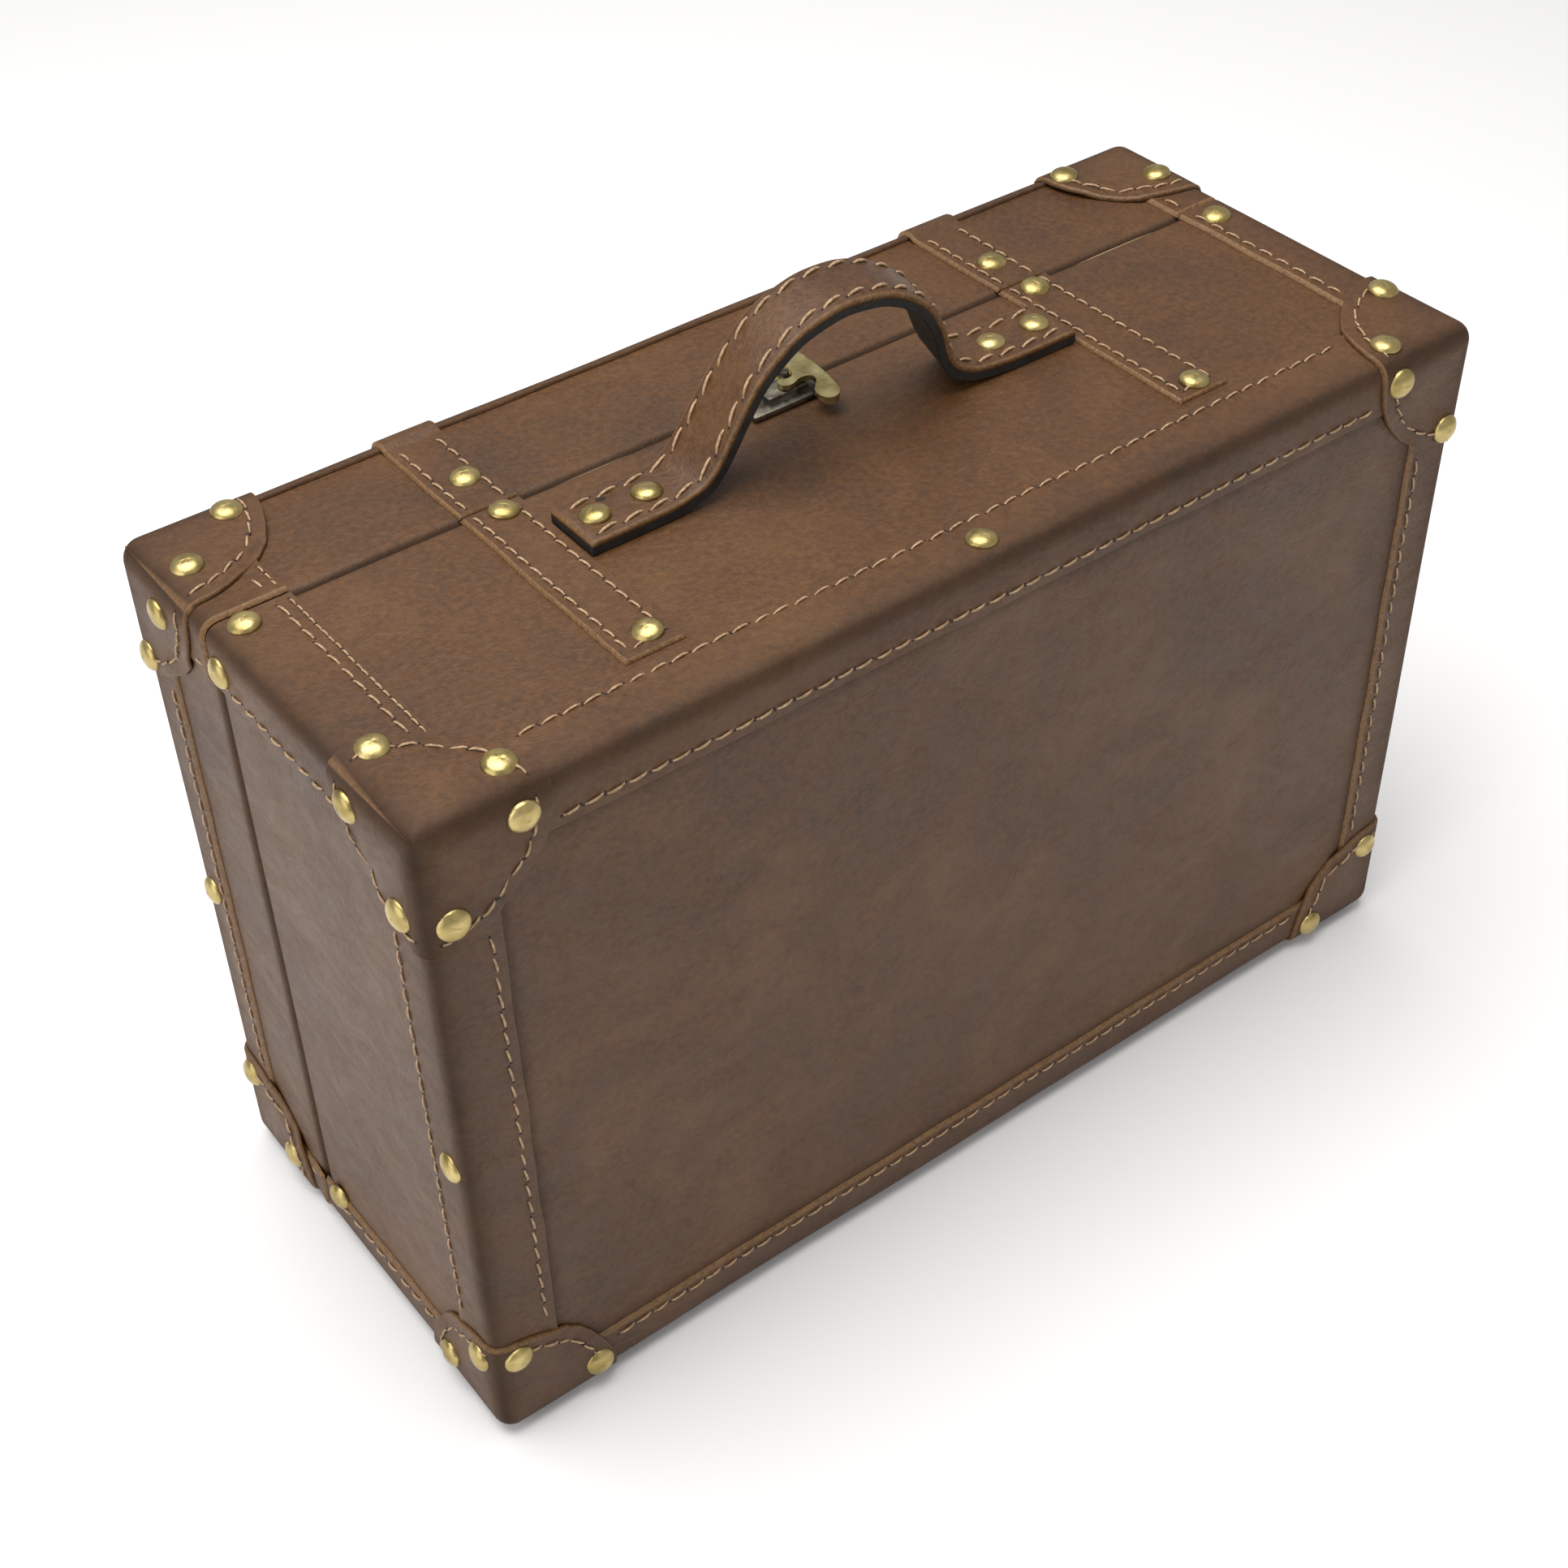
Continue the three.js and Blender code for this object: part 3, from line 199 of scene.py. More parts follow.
def closed_sheet(outer, inner, wrap=False):
    """Points and faces of a sheet between an outer and an inner grid of points, joined round the rim.

    A wrapped grid has a rim at its first column, and at its last one unless that has folded on to itself.
    """
    rows, columns = outer.shape[:2]
    count = rows * columns
    index = np.arange(count).reshape(rows, columns)
    if wrap:
        rims = [index[:, 0]] if wrap == "folded" else [index[:, 0], index[:, -1]]
    else:
        rims = [np.concatenate([index[:, 0], index[-1, 1:], index[-2::-1, -1], index[0, -2:0:-1]])]
    faces = [grid_faces(rows, columns, wrap), grid_faces(rows, columns, wrap, count)[:, ::-1]]
    for rim in rims:
        after = np.roll(rim, -1)
        faces.append(np.stack([rim, after, after + count, rim + count], axis=-1))
    return np.concatenate([outer.reshape(-1, 3), inner.reshape(-1, 3)]), np.concatenate(faces)


def leather_piece(name, flat, top, under, material, body, wrap=False, marks=None, crease=None):
    """A sheet draped on the case between an under height and a top height."""
    shape = flat.shape[:2]
    top = np.broadcast_to(top, shape)
    under = np.broadcast_to(under, shape)
    points, faces = closed_sheet(drape(flat, top), drape(flat, under), wrap)
    spread_marks = {mark: np.broadcast_to(values, shape) for mark, values in (marks or {}).items()}
    doubled = {mark: np.tile(values.ravel(), 2) for mark, values in spread_marks.items()}
    return make_piece(name, points, faces, material, body, doubled, crease)


def stations(start, end, step, fine, reach):
    """Places from start to end, a step apart, and a fine step apart within reach of both ends."""
    length = abs(end - start)
    reach = min(reach, length / 3)
    near = np.linspace(0, reach, max(2, int(round(reach / fine)) + 1))
    middle = np.linspace(reach, length - reach, max(2, int(round((length - 2 * reach) / step)) + 1))
    offsets = np.unique(np.concatenate([near, middle, length - near]).round(7))
    return start + np.sign(end - start) * offsets


def side_shares(step, fine):
    """Shares of the length of each side of the large face, in order bottom, right, top, left."""
    spans = [RIGHT - LEFT, TOP - BOTTOM] * 2
    return [(stations(0, span, step, fine, 9 * MM) / span)[:-1] for span in spans]


def face_loop(y, insets, shares):
    """A closed loop at one depth: a rectangle set in from the case's left, right, bottom and top."""
    left, right, bottom, top = insets
    corners = [
        (LEFT + left, BOTTOM + bottom),
        (RIGHT - right, BOTTOM + bottom),
        (RIGHT - right, TOP - top),
        (LEFT + left, TOP - top),
    ]
    sides = []
    for (ax, az), (bx, bz), share in zip(corners, corners[1:] + corners[:1], shares):
        x = ax + (bx - ax) * share
        z = az + (bz - az) * share
        sides.append(np.stack([x, np.full(len(share), y), z], axis=-1))
    return np.concatenate(sides)


def leather_material(name, base=LEATHER, dark=LEATHER_DARK, pale=LEATHER_PALE, roughness=(0.40, 0.56)):
    """Oiled hide: cloudy colour, pebbled grain and fine wrinkles, with raw edges by attribute, and darkening
    by attribute that is real wear at edges and painted shade in grooves.
    """
    material = bpy.data.materials.new(name)
    material.use_nodes = True
    tree = material.node_tree
    shader = tree.nodes["Principled BSDF"]
    shader.inputs["Specular IOR Level"].default_value = 0.42
    place = tree.nodes.new("ShaderNodeTexCoord").outputs["Object"]

    def noise(scale, detail, distortion=0.0, rough=0.55, stretch=None):
        node = tree.nodes.new("ShaderNodeTexNoise")
        node.inputs["Scale"].default_value = scale
        node.inputs["Detail"].default_value = detail
        node.inputs["Roughness"].default_value = rough
        node.inputs["Distortion"].default_value = distortion
        source = place
        if stretch:
            mapping = tree.nodes.new("ShaderNodeMapping")
            mapping.inputs["Scale"].default_value = stretch
            tree.links.new(place, mapping.inputs["Vector"])
            source = mapping.outputs["Vector"]
        tree.links.new(source, node.inputs["Vector"])
        return node.outputs["Fac"]

    def ramp(value, stops):
        node = tree.nodes.new("ShaderNodeValToRGB")
        node.color_ramp.elements.remove(node.color_ramp.elements[1])
        for at, color in stops:
            element = node.color_ramp.elements.new(at)
            element.color = (*color, 1)
        node.color_ramp.elements.remove(node.color_ramp.elements[0])
        tree.links.new(value, node.inputs["Fac"])
        return node.outputs["Color"]

    def mix(amount, a, b, kind="MIX"):
        node = tree.nodes.new("ShaderNodeMix")
        node.data_type = "RGBA"
        node.blend_type = kind
        tree.links.new(amount, node.inputs["Factor"])
        tree.links.new(a, node.inputs[6])
        tree.links.new(b, node.inputs[7])
        return node.outputs[2]

    def spread(value, low, high, to_low, to_high):
        node = tree.nodes.new("ShaderNodeMapRange")
        limits = {"From Min": low, "From Max": high, "To Min": to_low, "To Max": to_high}
        for socket, number in limits.items():
            node.inputs[socket].default_value = number
        tree.links.new(value, node.inputs["Value"])
        return node.outputs["Result"]

    def attribute(mark):
        node = tree.nodes.new("ShaderNodeAttribute")
        node.attribute_name = mark
        return node.outputs["Fac"]

    def bump(height, distance, strength, normal=None):
        node = tree.nodes.new("ShaderNodeBump")
        node.inputs["Distance"].default_value = distance
        node.inputs["Strength"].default_value = strength
        tree.links.new(height, node.inputs["Height"])
        if normal:
            tree.links.new(normal, node.inputs["Normal"])
        return node.outputs["Normal"]

    def shade(tone, amount):
        return tuple(channel * amount for channel in tone)

    cloud = ramp(noise(17, 7, 1.1, 0.62), [(0.30, dark), (0.50, base), (0.70, pale)])
    streaks = noise(60, 6, 1.0, 0.65, (1, 1, 1.6))
    speckle = ramp(noise(500, 3), [(0.36, shade(base, 0.60)), (0.64, shade(base, 1.42))])
    color = mix(spread(streaks, 0.35, 0.7, 0.25, 0.7), cloud, speckle)
    # The darker tone serves both the real wear at the edges and the painted shade in the seam's groove and
    # the binding creases.
    wear_and_shade_tone = ramp(noise(90, 4), [(0.3, shade(base, 0.22)), (0.7, shade(base, 0.42))])
    color = mix(attribute("wear_and_shade"), color, wear_and_shade_tone)
    fibre = ramp(noise(900, 4, 0.3), [(0.3, shade(RAW_EDGE, 0.5)), (0.62, RAW_EDGE)])
    color = mix(attribute("raw"), color, fibre)
    tree.links.new(color, shader.inputs["Base Color"])
    matt = tree.nodes.new("ShaderNodeMath")
    matt.operation = "MULTIPLY_ADD"
    matt.inputs[1].default_value = 0.45
    tree.links.new(attribute("wear_and_shade"), matt.inputs[0])
    tree.links.new(spread(streaks, 0.3, 0.7, *roughness), matt.inputs[2])
    tree.links.new(matt.outputs[0], shader.inputs["Roughness"])

    cells = tree.nodes.new("ShaderNodeTexVoronoi")
    cells.feature = "DISTANCE_TO_EDGE"
    cells.inputs["Scale"].default_value = 900
    warp = tree.nodes.new("ShaderNodeTexNoise")
    warp.inputs["Scale"].default_value = 170
    bend = tree.nodes.new("ShaderNodeVectorMath")
    bend.operation = "MULTIPLY_ADD"
    bend.inputs[1].default_value = (0.009, 0.009, 0.009)
    tree.links.new(place, warp.inputs["Vector"])
    tree.links.new(warp.outputs["Color"], bend.inputs[0])
    tree.links.new(place, bend.inputs[2])
    tree.links.new(bend.outputs["Vector"], cells.inputs["Vector"])
    grain = bump(spread(cells.outputs["Distance"], 0, 0.25, 0, 1), 0.07 * MM, 0.35)
    pores = bump(noise(1150, 3, 0.5, 0.6), 0.16 * MM, 0.5, grain)
    wrinkles = bump(noise(230, 6, 1.6, 0.62, (1, 1.7, 1.7)), 0.8 * MM, 0.5, pores)
    tree.links.new(wrinkles, shader.inputs["Normal"])
    return material


hide = leather_material("covering_leather")
SHARES = side_shares(5 * MM, 0.9 * MM)
HALVES = {"base": {"face": BASE_FACE, "sign": -1}, "lid": {"face": LID_FACE, "sign": 1}}
# Widths of the binding on the large face and depths of it on the sides, for the left, right, bottom and top.
FACE_WIDTHS = {"base": np.array([19.7, 17.5, 16, 15.5]) * MM, "lid": np.array([17, 17, 17, 17]) * MM}
SIDE_DEPTHS = {"base": np.array([19, 18, 17, 20]) * MM, "lid": np.array([17, 17, 17, 4]) * MM}

for half, spec in HALVES.items():
    sign = spec["sign"]
    depth = abs(spec["face"] - SEAM)
    close_rows = np.array([0.15, 0.4, 0.8, 1.4, 2.2, 3.5]) * MM
    from_seam = np.concatenate([close_rows, stations(6 * MM, depth, 6 * MM, 0.7 * MM, 6 * MM)])
    side_loops = [face_loop(SEAM + sign * d, np.zeros(4), SHARES) for d in from_seam]
    border = stations(0, 30 * MM, 2.5 * MM, 0.7 * MM, 7 * MM)[1:]
    insets = np.concatenate([border, np.arange(36, 110, 8) * MM, [(TOP - BOTTOM) / 2]])
    face_loops = [face_loop(spec["face"], np.full(4, inset), SHARES) for inset in insets]
    flat = np.stack(side_loops + face_loops, axis=1)
    x, z = flat[..., 0], flat[..., 2]
    rim_distance = np.concatenate([from_seam, depth + insets])
    on_left = x < LEFT + 1 * MM
    dip = np.where(on_left, 1.7, 1.5) * MM * bell(rim_distance, np.where(on_left, 1.4, 1.0) * MM)
    margins = np.stack([x - LEFT, RIGHT - x, z - BOTTOM, TOP - z], axis=-1)
    beside_face = (margins - FACE_WIDTHS[half]).min(axis=-1)
    on_face = np.isclose(flat[..., 1], spec["face"])
    # Painted shade: the hide is darkened in colour along the crease beside the face binding and in the seam's
    # groove, more widely on the left face.
    crease = np.where(on_face, bell(np.maximum(beside_face, 0), 2.5 * MM), 0)
    wear_and_shade = np.clip(0.45 * crease + 0.95 * bell(rim_distance, np.where(on_left, 2.0, 1.3) * MM), 0, 1)
    marks = {"wear_and_shade": wear_and_shade, "raw": 0}
    skin = leather_piece(
        f"{half}_skin", flat, -dip, -dip - SKIN, hide, half, wrap="folded", marks=marks,
    )
    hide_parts(f"{half}_leather")

# ---------------------------------------------------------------- face bindings
# A strip of the same leather is stitched over the four edges of each large face. Cut edges that look up, left
# or to the front are skived wide and show raw tan leather; the others are cut square.
BINDING = 1.0 * MM
LAID = 0.2 * MM
SKIVED = 1.3 * MM
SQUARE = 0.25 * MM
MARGIN = 0.15 * MM
UNDERSIDE = 0.02 * MM
# From the width order left, right, bottom, top to the loop order bottom, right, top, left.
LOOP_ORDER = [2, 1, 3, 0]

strap_leather = leather_material("strap_leather")


def across(width, cut):
    """Distances from a cut edge to a case edge, one row for each width, closer together at both ends."""
    width = np.asarray(width, float)[..., None]
    cut = np.asarray(cut, float)[..., None]
    tail = np.array([1, 0.8, 0.6, 0.42, 0.27, 0.13, 0]) * np.minimum(5.5 * MM, 0.5 * width)
    start = cut + MARGIN
    middle = start + (width - tail[..., :1] - start) * np.array([0, 0.33, 0.66])
    return np.concatenate([0 * width, cut, middle, width - tail], axis=-1)


def wander(length, seed):
    """A hand-cut edge's drift along its length, about a third of a millimetre each way."""
    return 0.2 * MM * (np.sin(length / (14 * MM) + seed) + np.sin(length / (5.9 * MM) + 2.1 * seed))


for half, spec in HALVES.items():
    sign = spec["sign"]
    counts = [len(share) for share in SHARES]
    side = np.repeat(np.arange(4), counts)
    share = np.concatenate(SHARES)
    face_width = FACE_WIDTHS[half][LOOP_ORDER][side]
    side_depth = SIDE_DEPTHS[half][LOOP_ORDER][side]
    face_cut = np.array([SKIVED, SKIVED, SQUARE, SQUARE])[side]
    lip = side_depth < 5 * MM
    side_cut = np.where(lip, SQUARE, SKIVED if half == "lid" else SQUARE)
    outer = face_loop(spec["face"], np.zeros(4), SHARES)
    inner = face_loop(spec["face"], FACE_WIDTHS[half], SHARES)
    drift = wander(share * 0.3, sign + 2 * side) * np.sin(math.pi * share)
    on_side = across(side_depth, side_cut)
    on_face = across(face_width, face_cut)[:, ::-1][:, 1:]
    side_part = np.repeat(outer[:, None], on_side.shape[1], axis=1)
    side_part[..., 1] -= sign * (side_depth[:, None] - on_side) * (1 + drift / side_depth)[:, None]
    fraction = (face_width[:, None] - on_face) / face_width[:, None] * (1 + drift / face_width)[:, None]
    face_part = outer[:, None] + (inner - outer)[:, None] * fraction[..., None]
    flat = np.concatenate([side_part, face_part], axis=1)
    taper = np.concatenate([on_side / side_cut[:, None], on_face / face_cut[:, None]], axis=1)
    raw = (taper < 1.01).astype(float)
    raw[:, : on_side.shape[1]] *= ~lip[:, None]
    top = LAID + BINDING * np.clip(taper, 0, 1)
    binding = leather_piece(
        f"{half}_face_strip", flat, top, UNDERSIDE, strap_leather, half, wrap=True,
        marks={"raw": raw, "wear_and_shade": 0.9 * edge_wear(flat)},
    )
    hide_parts(f"{half}_face_binding")

# ---------------------------------------------------------------- corner strips
# Narrow strips fold over the four long corners between the face binding and the seam. The top left ones are
# wider and carry two rows of stitches. The lid's strips end at the seam with a raw edge that stands proud.
STRIP_ON_LEVEL = {"left": 24.3 * MM, "right": 18.5 * MM}
STRIP_ON_SIDE = {"top": 17 * MM, "bottom": 15.5 * MM}

for half, spec in HALVES.items():
    sign = spec["sign"]
    start = spec["face"] - sign * (20.3 if half == "base" else 17.3) * MM
    end = SEAM + sign * 0.25 * MM
    for side_name, right in (("left", -1), ("right", 1)):
        for level, up in (("top", 1), ("bottom", -1)):
            edge_x = RIGHT if right > 0 else LEFT
            edge_z = TOP if up > 0 else BOTTOM
            level_cut = SKIVED if right > 0 else SQUARE
            wall_cut = SKIVED if up < 0 else SQUARE
            y = stations(start, end, 4 * MM, 0.9 * MM, 3 * MM)
            end_cut = (1.3 if half == "lid" else 0.3) * MM
            y = np.sort(np.append(y, [end + sign * end_cut, end + sign * (end_cut + MARGIN)]))[::-sign]
            drift = wander(y, right + 3 * up)
            level_width = STRIP_ON_LEVEL[side_name]
            wall_width = STRIP_ON_SIDE[level]
            on_level = across(np.full(len(y), level_width), np.full(len(y), level_cut))
            on_wall = across(np.full(len(y), wall_width), np.full(len(y), wall_cut))[:, ::-1][:, 1:]
            from_edge = level_width - on_level
            from_corner = wall_width - on_wall
            level_part = np.stack([
                edge_x - right * from_edge * (1 + drift / level_width)[:, None],
                np.broadcast_to(y[:, None], from_edge.shape),
                np.full(from_edge.shape, edge_z),
            ], axis=-1)
            wall_part = np.stack([
                np.full(from_corner.shape, edge_x),
                np.broadcast_to(y[:, None], from_corner.shape),
                edge_z - up * from_corner * (1 + drift / wall_width)[:, None],
            ], axis=-1)
            flat = np.concatenate([level_part, wall_part], axis=1)
            taper = np.concatenate([on_level / level_cut, on_wall / wall_cut], axis=1)
            to_end = np.abs(y - end)[:, None] / end_cut
            raw = ((taper < 1.01) | (to_end < 1.01)).astype(float)
            top = LAID + BINDING * np.clip(np.minimum(taper, to_end), 0, 1)
            proud = 0.9 * MM * bell(np.abs(y - end), 5 * MM)[:, None] * (half == "lid") * (right < 0)
            strip = leather_piece(
                f"{half}_corner_strip_{level}_{side_name}", flat, top + proud, UNDERSIDE + proud,
                strap_leather, half, marks={"raw": raw, "wear_and_shade": 0.9 * edge_wear(flat)},
            )
            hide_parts(f"{half}_binding_{level}_{side_name}")

# ---------------------------------------------------------------- corner patches
# A round piece of leather is moulded over each corner on top of the bindings, and sinks to the panel inside.
# The grid goes round the corner over its three faces, one row for each direction and one column per radius.
PATCH = 1.15 * MM
PATCH_RADIUS = 37.3 * MM
PATCH_ARC = 32.6 * MM
BINDING_TOP = LAID + BINDING
TURN = np.radians([0, 1.8, 4, 6.8, 10, 14, 20, 28, 37, 47, 56, 65, 72, 77.5, 81.5, 84.5, 87])
PATCH_REACHES = np.array([
    0, 0.7, 1.4, 2.1, 2.9, 3.8, 5, 6.4, 8, 10, 13, 16, 18, 19.5, 21, 23, 25.5, 28.5, 32, 34.5,
]) * MM
LOOKING = np.array([-0.55, -0.45, 0.70])


def corner_turns():
    """Unit directions that go round a corner in its own frame, from one edge over three faces and back."""
    directions = []
    for first, second in ((0, 1), (1, 2), (2, 0)):
        turn = np.zeros((len(TURN), 3))
        turn[:, first] = np.cos(TURN)
        turn[:, second] = np.sin(TURN)
        directions.append(turn)
    return np.concatenate(directions)


def patch_height(inside):
    """How high a patch rides at distances inside the case's edges: over the bindings, sinking past them."""
    held = np.sort(inside, axis=-1)[..., 1]
    return LAID + BINDING_TOP * (1 - smooth((held - 18 * MM) / (4 * MM)))


turns = corner_turns()
quarter = np.tile(TURN, 3)
for half, spec in HALVES.items():
    for side_name, right in (("left", -1), ("right", 1)):
        for level, up in (("top", 1), ("bottom", -1)):
            corner = np.array([RIGHT if right > 0 else LEFT, spec["face"], TOP if up > 0 else BOTTOM])
            inward = -np.array([right, spec["sign"], up])
            seed = 1.7 * right + 2.3 * up + spec["sign"]
            radius = PATCH_RADIUS + 0.35 * MM * np.sin(2 * quarter) * np.sin(9 * quarter + seed)
            facing = (turns * inward) @ LOOKING
            cut = (0.3 + 1.0 * smooth(facing / 0.6)) * MM
            reach = np.concatenate([
                np.repeat(PATCH_REACHES[None], len(turns), axis=0),
                (radius - cut - MARGIN)[:, None], (radius - cut)[:, None], radius[:, None],
            ], axis=1)
            inside = turns[:, None] * reach[..., None]
            flat = corner + inward * inside
            ride = patch_height(inside)
            taper = np.clip((radius[:, None] - reach) / cut[:, None], 0, 1)
            raw = 0.75 * (taper < 0.999).astype(float)
            raw[:, -2] = 0.75
            seam_row = np.zeros(len(turns))
            seam_row[len(TURN)] = right < 0 and up > 0
            raw = np.maximum(raw, seam_row[:, None] * 0.8 * smooth((reach - 7 * MM) / (5 * MM)))
            top = ride + PATCH * taper + 0.35 * MM * seam_row[:, None]
            wear_and_shade = edge_wear(flat) * (1 - 0.8 * seam_row[:, None])
            patch = leather_piece(
                f"{half}_corner_patch_{level}_{side_name}", flat, top, ride, strap_leather, half,
                wrap=True, marks={"raw": raw, "wear_and_shade": wear_and_shade},
            )
            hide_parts(f"{half}_patch_{level}_{side_name}")

# ---------------------------------------------------------------- top straps
# Two strips run over the handle side, each in two pieces that meet at the seam. The lid's pieces climb over
# the lip of the lid's binding and turn down the large face.
STRAP = 1.2 * MM
STRAP_BEVEL = 0.75 * MM
STRAP_WIDTH = 18.4 * MM
STRAP_X = {
    name: (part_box(f"base_strap_{name}")[0][0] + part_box(f"base_strap_{name}")[1][0]) / 2
    for name in ("left", "right")
}
STRAP_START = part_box("base_strap_left")[0][1]
STRAP_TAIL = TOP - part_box("lid_strap_left")[0][2]
LID_LIP = SIDE_DEPTHS["lid"][3]


def strap_across(cut_left, cut_right):
    """Distances across a strap with its two bevels, and how far up its bevel each one is."""
    inner = np.linspace(cut_left + MARGIN, STRAP_WIDTH - cut_right - MARGIN, 7)
    distance = np.concatenate([[0, cut_left], inner, [STRAP_WIDTH - cut_right, STRAP_WIDTH]])
    taper = np.minimum(distance / cut_left, (STRAP_WIDTH - distance) / cut_right)
    return distance, taper


for side_name, centre in STRAP_X.items():
    distance, taper = strap_across(STRAP_BEVEL, SQUARE)
    x = centre - STRAP_WIDTH / 2 + distance
    y = stations(STRAP_START, SEAM - 0.25 * MM, 4 * MM, 0.8 * MM, 2.4 * MM)
    y = np.sort(np.append(y, [STRAP_START + 0.45 * MM, STRAP_START + 0.6 * MM]))
    flat = np.stack(np.broadcast_arrays(x[None], y[:, None], TOP), axis=-1)
    flat[..., 0] += wander(y, centre)[:, None] * 0.8
    along = np.minimum((y - STRAP_START) / (0.45 * MM), (SEAM - 0.2 * MM - y) / (0.3 * MM))[:, None]
    both = np.minimum(taper[None], along)
    strap = leather_piece(
        f"base_top_strap_{side_name}", flat, LAID + STRAP * np.clip(both, 0, 1), UNDERSIDE, strap_leather,
        "base", marks={"raw": (both < 1.01).astype(float), "wear_and_shade": 0},
    )
    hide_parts(f"base_strap_{side_name}")

    to_edge = LID_FACE - SEAM
    length = to_edge + STRAP_TAIL
    run = np.unique(np.concatenate([
        [0.25 * MM, 0.7 * MM, 1.4 * MM],
        np.arange(5, 36, 3.5) * MM,
        to_edge + np.arange(-8, 8.1, 1) * MM,
        np.arange(to_edge / MM + 11, length / MM - 2, 3) * MM,
        length - np.array([1.6, 0.6, 0.45, 0]) * MM,
    ]))
    flat = np.zeros((len(run), len(x), 3))
    flat[..., 0] = x + wander(run, centre + 1)[:, None] * 0.8
    flat[..., 1] = np.minimum(SEAM + run, LID_FACE)[:, None]
    flat[..., 2] = (TOP - np.maximum(run - to_edge, 0))[:, None]
    over_lip = smooth((run - (to_edge - LID_LIP - 3 * MM)) / (3 * MM))
    over_face = 1 - smooth((run - to_edge - FACE_WIDTHS["lid"][3]) / (3 * MM))
    ride = (BINDING_TOP * over_lip * over_face)[:, None]
    along = np.minimum((run - 0.1 * MM) / (0.3 * MM), (length - run) / (0.45 * MM))[:, None]
    both = np.minimum(taper[None], along)
    top = ride + LAID + STRAP * np.clip(both, 0, 1)
    strap = leather_piece(
        f"lid_top_strap_{side_name}", flat, top, ride + UNDERSIDE, strap_leather, "lid",
        marks={"raw": (both < 1.01).astype(float), "wear_and_shade": 0.3 * edge_wear(flat)},
    )
    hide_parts(f"lid_strap_{side_name}")

# ---------------------------------------------------------------- stitches
# Waxed linen thread, sewn about four stitches to the inch. Each stitch is a short bulging length of thread
# whose two ends dive into punched holes, and stands at a slight slant to its row.
THREAD = 0.38 * MM
PITCH = 6.4 * MM
STITCH = 5.5 * MM
HOLE = 0.42 * MM
PATCH_REACH = PATCH_RADIUS + 1.5 * MM
THREAD_STATIONS = np.array([-1, -0.84, -0.45, 0, 0.45, 0.84, 1])
THREAD_SIDES = 5


def simple_material(name, low, high, scale, rough, metal=0.0, bumps=(), stretch=(1, 1, 1)):
    """Colour between two tones by a noise, roughness by a finer one, and bumps as (scale, height)."""
    material = bpy.data.materials.new(name)
    material.use_nodes = True
    tree = material.node_tree
    shader = tree.nodes["Principled BSDF"]
    shader.inputs["Metallic"].default_value = metal
    place = tree.nodes.new("ShaderNodeTexCoord").outputs["Object"]
    mapping = tree.nodes.new("ShaderNodeMapping")
    mapping.inputs["Scale"].default_value = stretch
    tree.links.new(place, mapping.inputs["Vector"])

    def noise(size, detail):
        node = tree.nodes.new("ShaderNodeTexNoise")
        node.inputs["Scale"].default_value = size
        node.inputs["Detail"].default_value = detail
        tree.links.new(mapping.outputs["Vector"], node.inputs["Vector"])
        return node.outputs["Fac"]

    tones = tree.nodes.new("ShaderNodeValToRGB")
    tones.color_ramp.elements[0].position = 0.34
    tones.color_ramp.elements[0].color = (*low, 1)
    tones.color_ramp.elements[1].position = 0.66
    tones.color_ramp.elements[1].color = (*high, 1)
    tree.links.new(noise(scale, 5), tones.inputs["Fac"])
    tree.links.new(tones.outputs["Color"], shader.inputs["Base Color"])
    polish = tree.nodes.new("ShaderNodeMapRange")
    polish.inputs["From Min"].default_value = 0.3
    polish.inputs["From Max"].default_value = 0.7
    polish.inputs["To Min"].default_value = rough[0]
    polish.inputs["To Max"].default_value = rough[1]
    tree.links.new(noise(scale * 2.3, 3), polish.inputs["Value"])
    tree.links.new(polish.outputs["Result"], shader.inputs["Roughness"])
    normal = None
    for size, height in bumps:
        node = tree.nodes.new("ShaderNodeBump")
        node.inputs["Distance"].default_value = height
        node.inputs["Strength"].default_value = 0.6
        tree.links.new(noise(size, 4), node.inputs["Height"])
        if normal:
            tree.links.new(normal, node.inputs["Normal"])
        normal = node.outputs["Normal"]
    if normal:
        tree.links.new(normal, shader.inputs["Normal"])
    return material


thread = simple_material(
    "linen_thread", (0.27, 0.165, 0.085), (0.50, 0.34, 0.20), 900, (0.6, 0.8), bumps=[(2600, 0.1 * MM)],
)
# Painted shade: the punched holes are drawn as small dark discs lying on the leather.
hole_painted_shade = simple_material("stitch_hole", (0.014, 0.007, 0.004), (0.034, 0.016, 0.008), 700, (0.8, 0.95))
sewn = {"base": [], "lid": []}


def thread_tubes(centres, normals, radius):
    """Five-sided tubes along rows of centre points (stitch, station, xyz), thinner at their ends."""
    along = np.gradient(centres, axis=1)
    along /= np.linalg.norm(along, axis=-1, keepdims=True)
    side = np.cross(normals, along)
    side /= np.linalg.norm(side, axis=-1, keepdims=True)
    up = np.cross(along, side)
    angle = np.arange(THREAD_SIDES) * math.tau / THREAD_SIDES
    girth = radius * (1 - 0.4 * THREAD_STATIONS**2)[:, None, None]
    around = np.cos(angle)[:, None] * side[..., None, :] + np.sin(angle)[:, None] * up[..., None, :]
    points = centres[..., None, :] + girth * around
    ring = np.arange(THREAD_SIDES)
    after = (ring + 1) % THREAD_SIDES
    step = np.arange(len(THREAD_STATIONS) - 1)[:, None] * THREAD_SIDES
    beyond = step + THREAD_SIDES
    one = np.stack([step + ring, step + after, beyond + after, beyond + ring], axis=-1)
    size = len(THREAD_STATIONS) * THREAD_SIDES
    return points.reshape(-1, 3), one.reshape(-1, 4), size


